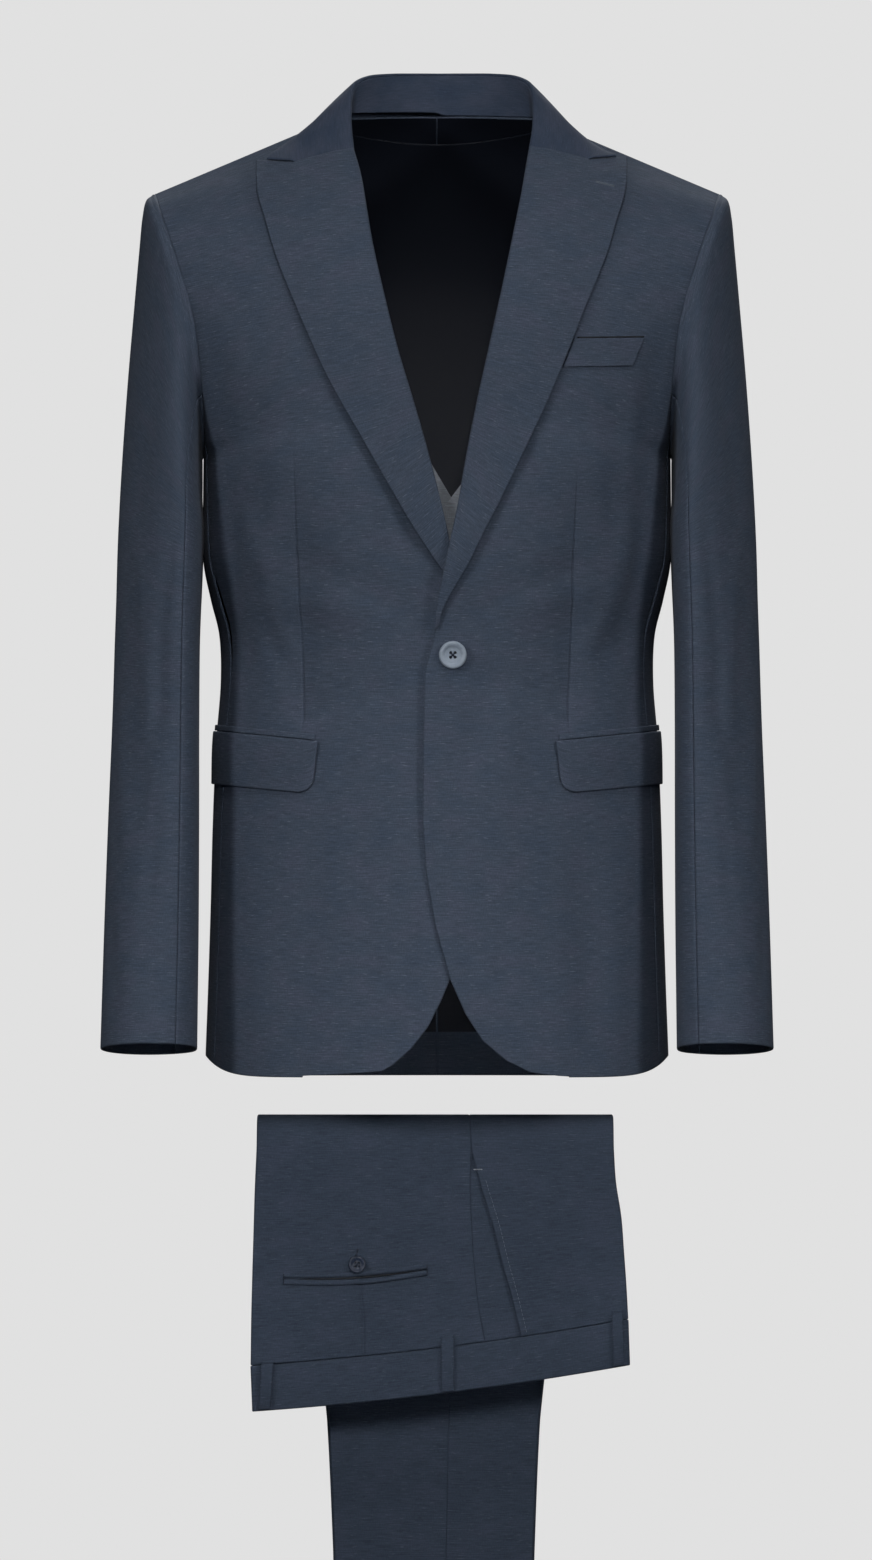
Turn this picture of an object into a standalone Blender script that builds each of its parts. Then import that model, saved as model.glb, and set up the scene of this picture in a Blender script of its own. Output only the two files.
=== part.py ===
"""A business suit: a peak-lapel jacket in its worn, hollow form with a waistcoat inside it,
and trousers folded crease to crease, hung over a bar with the waist in front.

Metres, +Z up. The front faces -Y and +X is the wearer's left. The origin is the centre of
the neck base. Cloth is built as walls: a surface is worked out from short tables of sizes,
and each piece is a region of that surface between two lifts, measured along its normal.
The tables are in millimetres.
"""

import math

import bmesh
import bpy
from mathutils import Vector

MM = 0.001
SEAM = 0.15 * MM          # each side of a seam stands back this far
CLOTH = 2.0 * MM          # wall of the jacket's cloth
THIN = 1.6 * MM           # wall of trousers and waistcoat cloth
NECK_X = 4.0              # the neck and collar sit this far to the wearer's left, mm
OVERLAP_LIFT = 3.2        # the buttoned left front lies this far over the right one, mm


def table(columns, *rows):
    """A table with named columns, as one list for each column."""
    names = columns.split()
    return {name: [row[i] for row in rows] for i, name in enumerate(names)}


def read(source, column, at):
    """The value of a column at a fractional row, on a smooth curve through the rows."""
    values = source[column]
    last = len(values) - 1
    at = min(max(at, 0.0), float(last))
    i = min(int(at), last - 1)
    t = at - i
    before = values[i - 1] if i > 0 else 2 * values[0] - values[1]
    after = values[i + 2] if i + 2 <= last else 2 * values[last] - values[last - 1]
    a, b = values[i], values[i + 1]
    return 0.5 * (2 * a + (b - before) * t + (2 * before - 5 * a + 4 * b - after) * t * t
                  + (3 * a - before - 3 * b + after) * t ** 3)


def ease(value, start, end):
    """0 before start, 1 after end, smooth between."""
    t = min(max((value - start) / (end - start), 0.0), 1.0)
    return t * t * (3 - 2 * t)


def spread(first, last, count):
    return [first + (last - first) * i / (count - 1) for i in range(count)]


# ---------------------------------------------------------------------------
# The body of the jacket: one row of sizes for each height, hem to shoulder.
# front_z, back_z: height at the centres; side_z, side_x: where the row meets the side seam,
# or above the underarm the armhole; front_y, back_y: depth at the centres; arm_y: half the
# armhole's depth; bend: how late along the row its height changes; square and full shape it.

BODY = table(
    "front_z back_z side_z side_x front_y back_y arm_y bend square full",
    (-756.0, -756.0, -740.0, 183.2, 126.0, 118.0, 0.0, 14.0, 2.0, 0.5),
    (-730.0, -730.0, -723.0, 182.6, 127.0, 119.0, 0.0, 6.0, 2.0, 0.5),
    (-692.0, -692.0, -689.0, 181.3, 127.5, 120.5, 0.0, 3.0, 2.0, 0.5),
    (-625.0, -625.0, -624.0, 179.2, 127.0, 121.0, 0.0, 2.5, 2.0, 0.5),
    (-556.0, -556.0, -556.0, 177.5, 125.5, 118.0, 0.0, 2.0, 2.0, 0.5),
    (-492.0, -492.0, -492.0, 174.8, 122.0, 112.0, 0.0, 2.0, 2.0, 0.5),
    (-445.0, -445.0, -445.0, 171.2, 119.0, 106.0, 0.0, 2.0, 2.05, 0.495),
    (-408.0, -408.0, -408.0, 172.2, 118.5, 105.5, 0.0, 2.0, 2.1, 0.49),
    (-378.0, -378.0, -379.0, 179.0, 119.5, 108.0, 0.0, 2.0, 2.25, 0.48),
    (-345.0, -345.0, -348.0, 185.0, 121.5, 112.0, 0.0, 2.0, 2.5, 0.455),
    (-305.0, -305.0, -309.0, 185.2, 123.5, 115.5, 0.0, 2.0, 2.85, 0.425),
    (-262.0, -262.0, -267.0, 184.8, 125.0, 118.5, 0.0, 2.0, 3.2, 0.4),
    (-232.0, -228.0, -252.0, 184.6, 125.5, 121.0, 36.0, 2.0, 2.55, 0.5),
    (-188.0, -178.0, -214.0, 186.2, 125.0, 122.5, 61.0, 1.8, 2.3, 0.6),
    (-134.0, -118.0, -162.5, 191.6, 117.0, 118.0, 70.0, 1.6, 2.1, 0.75),
    (-78.0, -58.0, -111.0, 206.0, 91.0, 101.0, 58.0, 1.35, 2.0, 0.85),
    (-22.0, 0.0, -75.0, 218.5, 40.0, 69.0, 33.0, 1.1, 2.0, 0.95),
    (35.5, 35.5, -59.0, 223.7, -20.0, 20.0, 0.0, 1.0, 2.0, 1.0),
)
HEM_ROW = 0.0
UNDERARM_ROW = 11.0
SIDE_TOP_ROW = 12.0       # the side body ends in the armhole here, front and back
SHOULDER_ROW = 17.0
SIDE_SEAM_Y = 36.0        # the side body reaches this far forward and back of the side


def body_point(side, row, turn):
    """The jacket's outer face, in metres. turn is 0 at centre front, 90 at the side and
    180 at centre back; side is 1 for the wearer's left and -1 for the right."""
    front = turn <= 90.0
    across = math.sin(math.radians(turn))
    shape = 1.0 - min(abs(across), 1.0) ** read(BODY, "square", row)
    shape = max(shape, 0.0) ** read(BODY, "full", row)
    arm = max(read(BODY, "arm_y", row), 0.0)
    reach = read(BODY, "front_y" if front else "back_y", row)
    middle = read(BODY, "front_z" if front else "back_z", row)
    edge = read(BODY, "side_z", row)
    depth = arm + (reach - arm) * shape
    height = middle + (edge - middle) * abs(across) ** read(BODY, "bend", row)
    width = read(BODY, "side_x", row) * across
    return Vector((side * width, -depth if front else depth, height)) * MM


def body_normal(side, row, turn):
    """The outward normal of the jacket's face; the shoulder seam shares one normal."""
    if row > SHOULDER_ROW - 0.05:
        return (half_normal(side, row, turn) + half_normal(side, row, 180.0 - turn)).normalized()
    return half_normal(side, row, turn)


def half_normal(side, row, turn):
    low, high = max(row - 0.02, HEM_ROW), min(row + 0.02, SHOULDER_ROW)
    before, after = turn - 0.6, turn + 0.6
    if read(BODY, "arm_y", row) > 0.5:
        before = max(before, 90.01) if turn > 90.0 else before
        after = min(after, 90.0) if turn <= 90.0 else after
    around = body_point(side, row, after) - body_point(side, row, before)
    upward = body_point(side, high, turn) - body_point(side, low, turn)
    normal = (around.cross(upward) * side).normalized()
    if row > UNDERARM_ROW and abs(turn - 90.0) < 0.5 and normal.x * side < 0.0:
        normal.x = 0.0    # at the armhole the wall keeps clear of the sleeve
        normal.normalize()
    return normal


def body_lifted(side, row, turn, lift):
    return body_point(side, row, turn) + body_normal(side, row, turn) * lift


def turn_at(row, x_mm, front=True):
    """The turn at which a row reaches this far out from the centre."""
    across = max(min(x_mm / read(BODY, "side_x", row), 1.0), -1.0)
    turn = math.degrees(math.asin(across))
    return turn if front else 180.0 - turn


def locate(x_mm, z_mm, front=True):
    """The row and turn of the point with this distance out and this height."""
    low, high = HEM_ROW, SHOULDER_ROW
    for _ in range(26):
        row = (low + high) / 2
        point = body_point(1, row, turn_at(row, x_mm, front))
        if point.z / MM < z_mm:
            low = row
        else:
            high = row
    return row, turn_at(row, x_mm, front)


def side_seam_turn(row, front=True):
    """The turn of the seam between the side body and the front or back."""
    if row >= SIDE_TOP_ROW:
        return 90.0
    low, high = (40.0, 90.0) if front else (90.0, 140.0)
    for _ in range(24):
        turn = (low + high) / 2
        depth = abs(body_point(1, row, turn).y) / MM
        if (depth > SIDE_SEAM_Y) == front:
            low = turn
        else:
            high = turn
    return turn


def seam_step(row, turn):
    """How many degrees of turn make the gap on one side of a seam."""
    near = body_point(1, row, turn)
    beyond = body_point(1, row, turn + (0.5 if turn < 90.0 else -0.5))
    return 0.5 * SEAM / max((near - beyond).length, 1e-6)


# ---------------------------------------------------------------------------
# Front edges, hem to neck, as distance out from the centre at each height, and lapels.
# A negative distance lies past the centre, on the other side.

LEFT_EDGE = table(
    "height out",
    (-754.9, 97.0), (-751.7, 73.0), (-742.6, 54.5), (-726.8, 35.6), (-705.5, 22.0),
    (-678.6, 10.3), (-636.0, -1.6), (-593.0, -8.7), (-556.0, -11.1), (-481.0, -10.6),
    (-436.0, -9.7), (-408.4, -2.4), (-383.2, 0.9), (-359.5, 5.8), (-335.8, 10.6),
    (-304.2, 17.4), (-264.7, 24.5), (-221.2, 33.3), (-181.7, 42.1), (-134.3, 52.5),
    (-94.8, 60.8), (-61.6, 67.5), (-41.0, 71.1), (-22.0, 74.3), (4.0, 80.0),
)
RIGHT_EDGE = table(
    "height out",
    (-753.6, 84.0), (-750.9, 43.1), (-745.5, 34.0), (-733.5, 20.5), (-716.1, 7.1),
    (-694.8, -3.6), (-678.6, -10.3), (-636.0, -20.0), (-593.0, -29.0), (-556.0, -31.0),
    (-436.0, -31.0), (-408.0, -27.0), (-383.0, -20.0), (-359.5, -14.0), (-335.8, -9.5),
    (-304.2, -2.4), (-264.7, 7.9), (-221.2, 20.5), (-181.7, 32.4), (-134.3, 44.2),
    (-94.8, 52.9), (-63.2, 58.1), (-43.5, 61.6), (-23.7, 67.2), (4.0, 72.0),
)

# Lapel rows run from its foot to the peak. fold: the roll line; edge: the outer edge.
LEFT_LAPEL = table(
    "fold_out fold_z edge_out edge_z",
    (-1.6, -402.0, 0.2, -402.0),
    (0.9, -383.2, 6.0, -384.0),
    (5.8, -359.5, 16.6, -364.2),
    (10.6, -335.8, 25.3, -349.2),
    (17.4, -304.2, 37.5, -323.9),
    (24.5, -264.7, 55.3, -289.1),
    (33.3, -221.2, 78.4, -240.2),
    (42.1, -181.7, 96.7, -198.3),
    (52.5, -134.3, 117.3, -146.2),
    (60.8, -94.8, 132.7, -109.0),
    (67.5, -61.6, 141.4, -80.6),
    (71.1, -41.1, 148.5, -56.0),
    (74.3, -22.1, 149.3, -31.5),
)
RIGHT_LAPEL = table(
    "fold_out fold_z edge_out edge_z",
    (-12.6, -357.5, -8.0, -360.0),
    (-9.5, -335.8, 0.8, -349.2),
    (-2.4, -304.2, 17.4, -323.9),
    (7.9, -264.7, 37.9, -289.1),
    (20.5, -221.2, 65.6, -240.2),
    (32.4, -181.7, 88.5, -198.3),
    (44.2, -134.3, 111.4, -146.2),
    (52.9, -94.8, 126.4, -109.0),
    (58.1, -63.2, 135.1, -80.6),
    (61.6, -43.5, 141.4, -58.5),
    (67.2, -23.7, 142.2, -34.0),
)
GORGE_DIP = 7.0           # the lapel's top edge dips this far below its two ends, mm
GORGE_AT = 0.6            # where along that edge the dip is


def edge_out(edge, height):
    """Distance out of a front edge at a height, straight between the rows."""
    heights, outs = edge["height"], edge["out"]
    if height <= heights[0]:
        return outs[0] + (heights[0] - height) * 20.0
    for i in range(len(heights) - 1):
        if height <= heights[i + 1]:
            share = (height - heights[i]) / (heights[i + 1] - heights[i])
            return outs[i] + (outs[i + 1] - outs[i]) * share
    return outs[-1]


def edge_turn(edge, row):
    """The turn at which a row meets a front edge."""
    low, high = -20.0, 80.0
    for _ in range(26):
        turn = (low + high) / 2
        point = body_point(1, row, turn) / MM
        if point.x < edge_out(edge, point.z):
            low = turn
        else:
            high = turn
    return turn


def overlap_lift(out, height):
    """How far the left front stands off the body line, in metres: most where it lies over
    the right front, and a little more where the right lapel ends under it."""
    over = OVERLAP_LIFT * (1.0 - ease(out, 38.0, 85.0)) * (1.0 - ease(height, -330.0, -250.0))
    over *= ease(height, -760.0, -700.0)
    bump = 4.8 * math.exp(-((out - 9.0) / 26.0) ** 2 - ((height + 352.0) / 42.0) ** 2)
    return (over + bump) * MM


# ---------------------------------------------------------------------------
# Solids

def collection(name):
    group = bpy.data.collections.new(name)
    bpy.context.scene.collection.children.link(group)
    return group


def add_object(name, work, finish):
    """A named object in the suit's collection, from a bmesh of one closed body."""
    mesh = bpy.data.meshes.new(name)
    bmesh.ops.recalc_face_normals(work, faces=work.faces)
    work.to_mesh(mesh)
    work.free()
    thing = bpy.data.objects.new(name, mesh)
    SUIT.objects.link(thing)
    colour, roughness = finish
    material = bpy.data.materials.new(name + "_finish")
    material.use_nodes = True
    shader = material.node_tree.nodes["Principled BSDF"]
    shader.inputs["Base Color"].default_value = (*colour, 1.0)
    shader.inputs["Roughness"].default_value = roughness
    shader.inputs["Metallic"].default_value = 0.0
    mesh.materials.append(material)
    return thing


def cloth(name, rows, columns, place, low, high, finish):
    """A wall of cloth: a grid of rows and columns at two lifts, closed round its edge.
    place(row, column, lift) gives a point."""
    work = bmesh.new()
    inner, outer = [[[work.verts.new(place(row, column, lift)) for column in columns]
                     for row in rows] for lift in (low, high)]
    last_row, last_column = len(rows) - 1, len(columns) - 1
    for i in range(last_row):
        for j in range(last_column):
            for face in (inner, outer):
                work.faces.new((face[i][j], face[i][j + 1], face[i + 1][j + 1], face[i + 1][j]))
    for i in range(last_row):
        for j in (0, last_column):
            work.faces.new((inner[i][j], inner[i + 1][j], outer[i + 1][j], outer[i][j]))
    for j in range(last_column):
        for i in (0, last_row):
            work.faces.new((inner[i][j], inner[i][j + 1], outer[i][j + 1], outer[i][j]))
    return add_object(name, work, finish)


def loft(name, rings, finish):
    """A solid through closed rings of equal count, capped at both ends."""
    work = bmesh.new()
    rings = [[work.verts.new(point) for point in ring] for ring in rings]
    count = len(rings[0])
    for ring, following in zip(rings, rings[1:]):
        for i in range(count):
            j = (i + 1) % count
            work.faces.new((ring[i], ring[j], following[j], following[i]))
    work.faces.new(rings[0])
    work.faces.new(rings[-1])
    return add_object(name, work, finish)


def side_name(side):
    return "left" if side > 0 else "right"


# ---------------------------------------------------------------------------
# Jacket body

BODY_ROWS = [0.0, 0.16, 0.4, 1.0, 1.5, 2.0, 3.0, 4.0, 5.0, 6.0, 7.0, 8.0, 9.3, 10.6,
             12.0, 13.0, 14.0, 15.0, 16.0, 16.5, SHOULDER_ROW - 0.004]
SIDE_ROWS = [row for row in BODY_ROWS if row <= SIDE_TOP_ROW]


def front_lift(side, row, turn):
    """The extra lift of a front: only the left one lies over the other."""
    if side < 0:
        return 0.0
    point = body_point(1, row, turn) / MM
    return overlap_lift(point.x, point.z)


def front_place(side, row, share, lift):
    edge = LEFT_EDGE if side > 0 else RIGHT_EDGE
    first = edge_turn(edge, row)
    last = side_seam_turn(row)
    if row < SIDE_TOP_ROW:
        last -= seam_step(row, last)
    turn = first + (last - first) * share
    return body_lifted(side, row, turn, lift + front_lift(side, row, turn))


def back_place(side, row, share, lift):
    """share runs from the armhole or side seam to centre back, or to the neck above it."""
    first = side_seam_turn(row, front=False)
    if row < SIDE_TOP_ROW:
        first += seam_step(row, first)
    first = max(first, 90.01)
    last = 180.0 - math.degrees(SEAM / (read(BODY, "side_x", row) * MM))
    if body_point(side, row, last).z > neck_height(0.0):
        last = neck_turn(row)
    return body_lifted(side, row, first + (last - first) * share, lift)


def neck_height(out):
    """Height of the back neck seam, in metres."""
    return (5.0 - 2.0 * (out / 78.0) ** 2) * MM


def neck_turn(row):
    low, high = 120.0, 180.0
    for _ in range(24):
        turn = (low + high) / 2
        point = body_point(1, row, turn)
        if point.z < neck_height(point.x / MM):
            low = turn
        else:
            high = turn
    return turn


def side_place(side, row, share, lift):
    """The side body, from its front seam to its back seam; its top row is the underarm."""
    if row >= SIDE_TOP_ROW:
        away = abs(2.0 * share - 1.0)
        point = body_point(side, UNDERARM_ROW + away * (1.0 - 0.004), 90.0)
        if share > 0.5:
            point.y = -point.y
        return point + Vector((side * lift, 0.0, 0.0))
    first = side_seam_turn(row)
    last = side_seam_turn(row, front=False)
    first += seam_step(row, first)
    last -= seam_step(row, last)
    return body_lifted(side, row, first + (last - first) * share, lift)


def build_body():
    for side in (1, -1):
        label = side_name(side)
        cloth("front_" + label, BODY_ROWS, spread(0.0, 1.0, 7),
              lambda row, share, lift: front_place(side, row, share, lift),
              -CLOTH, 0.0, WORSTED)
        cloth("back_" + label, BODY_ROWS, spread(0.0, 1.0, 6),
              lambda row, share, lift: back_place(side, row, share, lift),
              -CLOTH, 0.0, WORSTED)
        cloth("side_" + label, SIDE_ROWS, spread(0.0, 1.0, 5),
              lambda row, share, lift: side_place(side, row, share, lift),
              -CLOTH, 0.0, WORSTED)


# ---------------------------------------------------------------------------
# Sleeves: rings from the cap to the cuff. outer and inner are a ring's points furthest from
# and nearest to the body, depth is half its front-to-back size, bow pulls its front and
# back towards the body, tilt raises its front, lean turns the front's fullness towards
# the body, and boxy squares the corners beside the body.

SLEEVE = table(
    "outer_x outer_z inner_x inner_z middle_y depth bow tilt lean boxy",
    (229.0, -64.0, 186.6, -268.0, 0.0, 71.5, 10.5, 0.0, 0.0, 0.0),
    (233.2, -77.0, 186.6, -272.0, 0.0, 73.5, 8.5, 0.0, 0.08, 0.0),
    (235.5, -101.0, 186.4, -279.0, 0.0, 75.5, 6.0, 0.0, 0.18, 0.0),
    (239.6, -147.0, 186.2, -288.0, 0.0, 77.0, 3.0, 0.0, 0.3, 0.2),
    (245.0, -210.0, 186.2, -302.0, 0.0, 77.5, 1.0, 0.0, 0.38, 0.5),
    (250.3, -285.0, 186.3, -325.0, -1.0, 76.5, 0.0, 0.0, 0.4, 0.8),
    (253.6, -350.0, 186.6, -365.0, -4.0, 74.0, 0.0, 0.0, 0.4, 1.1),
    (255.0, -413.0, 187.5, -413.0, -9.0, 70.5, 0.0, 0.0, 0.4, 1.3),
    (257.0, -479.0, 188.0, -479.0, -18.0, 66.5, 0.0, 0.5, 0.36, 1.4),
    (260.0, -553.0, 188.0, -553.0, -31.0, 61.5, 0.0, 1.0, 0.26, 1.2),
    (263.0, -638.0, 188.3, -638.0, -47.0, 55.5, 0.0, 2.5, 0.14, 0.9),
    (265.9, -734.0, 189.3, -734.0, -65.0, 49.5, 0.0, 5.0, 0.04, 0.5),
)
CUFF_RING = len(SLEEVE["tilt"]) - 1
CAP_SEAM = 0.3            # gap between the armhole and the sleeve cap, mm
UNDER_SEAM = 0.9          # more gap at the underarm, mm
SLEEVE_SEAM_TURN = 122.0  # the sleeve's two long seams, from its outer line


def armhole_point(side, turn):
    """The armhole's edge: turn is 0 at the shoulder, 90 in front, 180 under the arm."""
    away = abs(turn)
    row = UNDERARM_ROW + (180.0 - away) / 180.0 * (SHOULDER_ROW - UNDERARM_ROW)
    point = body_point(side, row, 90.0)
    if turn < 0:
        point.y = -point.y
    point.x += side * (CAP_SEAM + UNDER_SEAM * (1 - math.cos(math.radians(away))) / 2) * MM
    return point


def sleeve_ring_point(side, ring, turn):
    """ring is -1 at the armhole and counts down the SLEEVE table from 0."""
    if ring < 0:
        return armhole_point(side, turn)
    angle = math.radians(turn)
    size = {name: SLEEVE[name][ring] for name in SLEEVE}
    out, round_ = math.cos(angle), math.sin(angle)
    if out < 0.0:
        power = 2.0 + size["boxy"]
        corner = (abs(out) ** power + abs(round_) ** power) ** (-1.0 / power)
        out, round_ = out * corner, round_ * corner
    x = (size["outer_x"] + size["inner_x"]) / 2
    x += (size["outer_x"] - size["inner_x"]) / 2 * out
    x -= size["bow"] * math.sin(angle) ** 2
    z = (size["outer_z"] + size["inner_z"]) / 2
    z += (size["outer_z"] - size["inner_z"]) / 2 * out
    z += size["tilt"] * math.sin(angle)
    fullness = round_
    if fullness > 0.0:
        fullness *= 1.0 - size["lean"] * math.cos(angle)
    y = size["middle_y"] - size["depth"] * fullness
    return Vector((side * x, y, z)) * MM


def sleeve_point(side, ring, turn):
    """The sleeve's outer face, smooth between rings."""
    ring = min(max(ring, -1.0), float(CUFF_RING))
    first = min(math.floor(ring), CUFF_RING - 1)
    t = ring - first
    a = sleeve_ring_point(side, first, turn)
    b = sleeve_ring_point(side, first + 1, turn)
    before = sleeve_ring_point(side, first - 1, turn) if first > -1 else a * 2 - b
    after = sleeve_ring_point(side, first + 2, turn) if first + 2 <= CUFF_RING else b * 2 - a
    return 0.5 * (2 * a + (b - before) * t + (2 * before - 5 * a + 4 * b - after) * t * t
                  + (3 * a - before - 3 * b + after) * t ** 3)


def sleeve_lifted(side, ring, turn, lift):
    """A point off the sleeve's face. At the cap seam the wall doesn't reach into the body."""
    down = sleeve_point(side, ring + 0.03, turn) - sleeve_point(side, ring - 0.03, turn)
    around = sleeve_point(side, ring, turn + 2.0) - sleeve_point(side, ring, turn - 2.0)
    normal = (around.cross(down) * side).normalized()
    if ring < -0.7 and normal.x * side > -0.2:
        normal.x = 0.0
        normal.normalize()
    return sleeve_point(side, ring, turn) + normal * lift


def build_sleeves():
    rings = [-1.0, -0.5] + [float(ring) for ring in range(CUFF_RING + 1) if ring != 5]
    gap = 0.3             # degrees
    for side in (1, -1):
        label = side_name(side)
        seam = SLEEVE_SEAM_TURN
        cloth("sleeve_top_" + label, rings, spread(-seam + gap, seam - gap, 11),
              lambda ring, turn, lift: sleeve_lifted(side, ring, turn, lift),
              -CLOTH, 0.0, WORSTED)
        cloth("sleeve_under_" + label, rings, spread(seam + gap, 360.0 - seam - gap, 5),
              lambda ring, turn, lift: sleeve_under(side, ring, turn, lift),
              -CLOTH, 0.0, WORSTED)


def sleeve_under(side, ring, turn, lift):
    """The under sleeve, whose turns pass 180."""
    return sleeve_lifted(side, ring, turn if turn <= 180.0 else turn - 360.0, lift)


# ---------------------------------------------------------------------------
# Lapels

LAPEL_STAND = 3.2         # how far a lapel's under face stands off the front, mm
LAPEL_FOOT = 1.6          # the same at its roll line


def lapel_place(side, row, share, lift):
    """row counts up a lapel's table; share runs from the roll line to the outer edge."""
    lapel = LEFT_LAPEL if side > 0 else RIGHT_LAPEL
    top = len(lapel["fold_z"]) - 1
    out = read(lapel, "fold_out", row) * (1 - share) + read(lapel, "edge_out", row) * share
    height = read(lapel, "fold_z", row) * (1 - share) + read(lapel, "edge_z", row) * share
    dip = 1.0 - abs(share - GORGE_AT) / (GORGE_AT if share < GORGE_AT else 1.0 - GORGE_AT)
    height -= GORGE_DIP * dip * ease(row, top - 1.0, top)
    body_row, turn = locate(out, height)
    stand = LAPEL_FOOT + (LAPEL_STAND - LAPEL_FOOT) * ease(share, 0.0, 0.18)
    stand -= 0.7 * ease(share, 0.5, 1.0)
    narrow = ease(abs(read(lapel, "edge_out", row) - read(lapel, "fold_out", row)), 2.0, 20.0)
    stand = LAPEL_FOOT + (stand - LAPEL_FOOT) * narrow
    base = front_lift(side, body_row, turn)
    return body_lifted(side, body_row, turn, base + stand * MM + lift)


def build_lapels():
    shares = [0.0, 0.1, 0.25, 0.45, GORGE_AT, 0.8, 1.0]
    for side, lapel in ((1, LEFT_LAPEL), (-1, RIGHT_LAPEL)):
        rows = [float(row) for row in range(len(lapel["fold_z"]))]
        cloth("lapel_" + side_name(side), rows, shares,
              lambda row, share, lift: lapel_place(side, row, share, lift),
              0.0, 1.8 * MM, WORSTED)


# ---------------------------------------------------------------------------
# Collar: stations from centre back to the gorge. fold: its top edge; foot: the neck seam;
# edge: the fall's outer edge, which lies on the shoulders. Distances out are from the neck.

COLLAR = table(
    "fold_out fold_y fold_z foot_out foot_z edge_out edge_z",
    (0.0, 74.0, 37.5, 0.0, 5.0, 0.0, -12.0),
    (22.0, 72.0, 37.5, 21.0, 4.9, 27.0, -12.0),
    (42.0, 63.0, 37.0, 40.0, 4.5, 53.0, -11.0),
    (59.0, 46.5, 35.0, 57.0, 3.9, 78.0, -9.0),
    (69.5, 30.0, 29.0, 68.5, 3.5, 97.0, -7.0),
    (73.0, 13.0, 18.0, 75.0, 2.0, 108.0, -12.0),
    (73.5, -1.0, 5.0, 74.0, -8.0, 118.0, -19.0),
    (73.0, -11.0, -8.0, 72.5, -15.0, 128.0, -24.5),
    (71.0, -22.0, -19.5, 71.0, -22.0, 137.0, -24.5),
)
COLLAR_FRONT = len(COLLAR["fold_z"]) - 1
FALL_DIP = 5.0            # its front ends follow the dip of the lapels' top edges, mm
FALL_DIP_AT = 0.62
FALL_STAND = 2.6          # the fall's under face stands this far off the shoulders, mm


def collar_edge(side, station, lift):
    """A point of the fall's outer edge, off the back behind the shoulder and off the front
    before it."""
    out = read(COLLAR, "edge_out", station)
    front = station >= 4.5
    row = min(locate(out, read(COLLAR, "edge_z", station), front)[0], SHOULDER_ROW - 0.01)
    return body_lifted(side, row, turn_at(row, out + side * NECK_X, front), lift)


def collar_fold(side, station):
    out = read(COLLAR, "fold_out", station)
    return Vector((side * out + NECK_X, read(COLLAR, "fold_y", station),
                   read(COLLAR, "fold_z", station))) * MM


def build_collar():
    """The fall and the stand, each one piece from gorge to gorge through centre back."""
    stations = spread(-float(COLLAR_FRONT), float(COLLAR_FRONT), 2 * COLLAR_FRONT + 1)
    stations = sorted(stations + [-4.5, 4.5])
    shares = [0.0, 0.3, FALL_DIP_AT, 0.85, 1.0]
    cloth("collar_fall", stations, shares, fall_place, 0.0, CLOTH, WORSTED)
    short = [station for station in stations if abs(station) <= COLLAR_FRONT - 2]
    cloth("collar_stand", short, spread(0.0, 1.0, 3), stand_place, 0.0, 1.6 * MM, WORSTED)


def fall_place(station, share, lift):
    """share runs from the fold to the outer edge."""
    side = 1 if station >= 0 else -1
    away = abs(station)
    fold = collar_fold(side, away)
    outward = fall_outward(side, away)
    edge = collar_edge(side, away, FALL_STAND * MM)
    point = fold.lerp(edge, share)
    crown = 6.0 * (1.0 - ease(away, 0.5, 3.0)) + 1.5
    point += outward * crown * MM * 4.0 * share * (1.0 - share)
    dip = 1.0 - abs(share - FALL_DIP_AT) / (FALL_DIP_AT if share < FALL_DIP_AT
                                            else 1.0 - FALL_DIP_AT)
    point += Vector((0.0, -1.3, -1.0)) * FALL_DIP * MM * dip * ease(away, 7.0, 8.0)
    return point + outward * lift


def fall_outward(side, away):
    """Square to the fall, away from the neck."""
    step = 0.1
    here = collar_fold(side, away)
    ahead = collar_fold(side, away + step) if away + step <= COLLAR_FRONT else here
    behind = collar_fold(side, away - step) if away >= step else here
    along = ahead - behind
    down = collar_edge(side, away, FALL_STAND * MM) - here
    normal = along.cross(down) * side
    return normal.normalized()


def stand_place(station, share, lift):
    """share runs from the neck seam to just under the fold."""
    side = 1 if station >= 0 else -1
    away = abs(station)
    fold = collar_fold(side, away)
    foot_out = read(COLLAR, "foot_out", away)
    front = away >= 4.5
    row = min(locate(foot_out, read(COLLAR, "foot_z", away), front)[0], SHOULDER_ROW)
    foot = body_point(side, row, turn_at(row, foot_out + side * NECK_X, front))
    foot.z += 1.6 * MM
    middle = Vector((NECK_X * MM, 0.0, 0.0))
    inward = middle - foot
    inward.z = 0.0
    inward.normalize()
    top = fold + inward * 0.6 * MM
    top.z -= 0.5 * MM
    return foot.lerp(top, share) + inward * lift


# ---------------------------------------------------------------------------
# Pockets and the front button

POCKET_ROW = 5            # the body row at the height of the pocket line
POCKET = {"inner_out": 96.0, "outer_turn": 97.0, "top_z": -490.5, "rise": 7.5, "reach": 76.0,
          "width": 148.0, "drop": 42.0, "jet": 5.0, "corner": 13.0}
WELT = {"out": 108.2, "width": 55.3, "top_z": -173.5, "height": 22.5, "slant": 9.6}
BUTTON = {"out": 12.3, "z": -422.9, "radius": 11.0, "thick": 3.6}


def pocket_place(side, share, depth, lift):
    """share runs from the inner end of the pocket to its end on the side body; depth is
    how far below the pocket line, in mm."""
    side_x = BODY["side_x"][POCKET_ROW]
    first = math.degrees(math.asin(POCKET["inner_out"] / side_x))
    turn = first + (POCKET["outer_turn"] - first) * share
    out = side_x * math.sin(math.radians(turn))
    line = POCKET["top_z"] + POCKET["rise"] * (out - POCKET["inner_out"]) / POCKET["reach"]
    row = locate(min(out, 170.0), line - depth)[0]
    return body_lifted(side, row, turn, lift + front_lift(side, row, turn))


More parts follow.
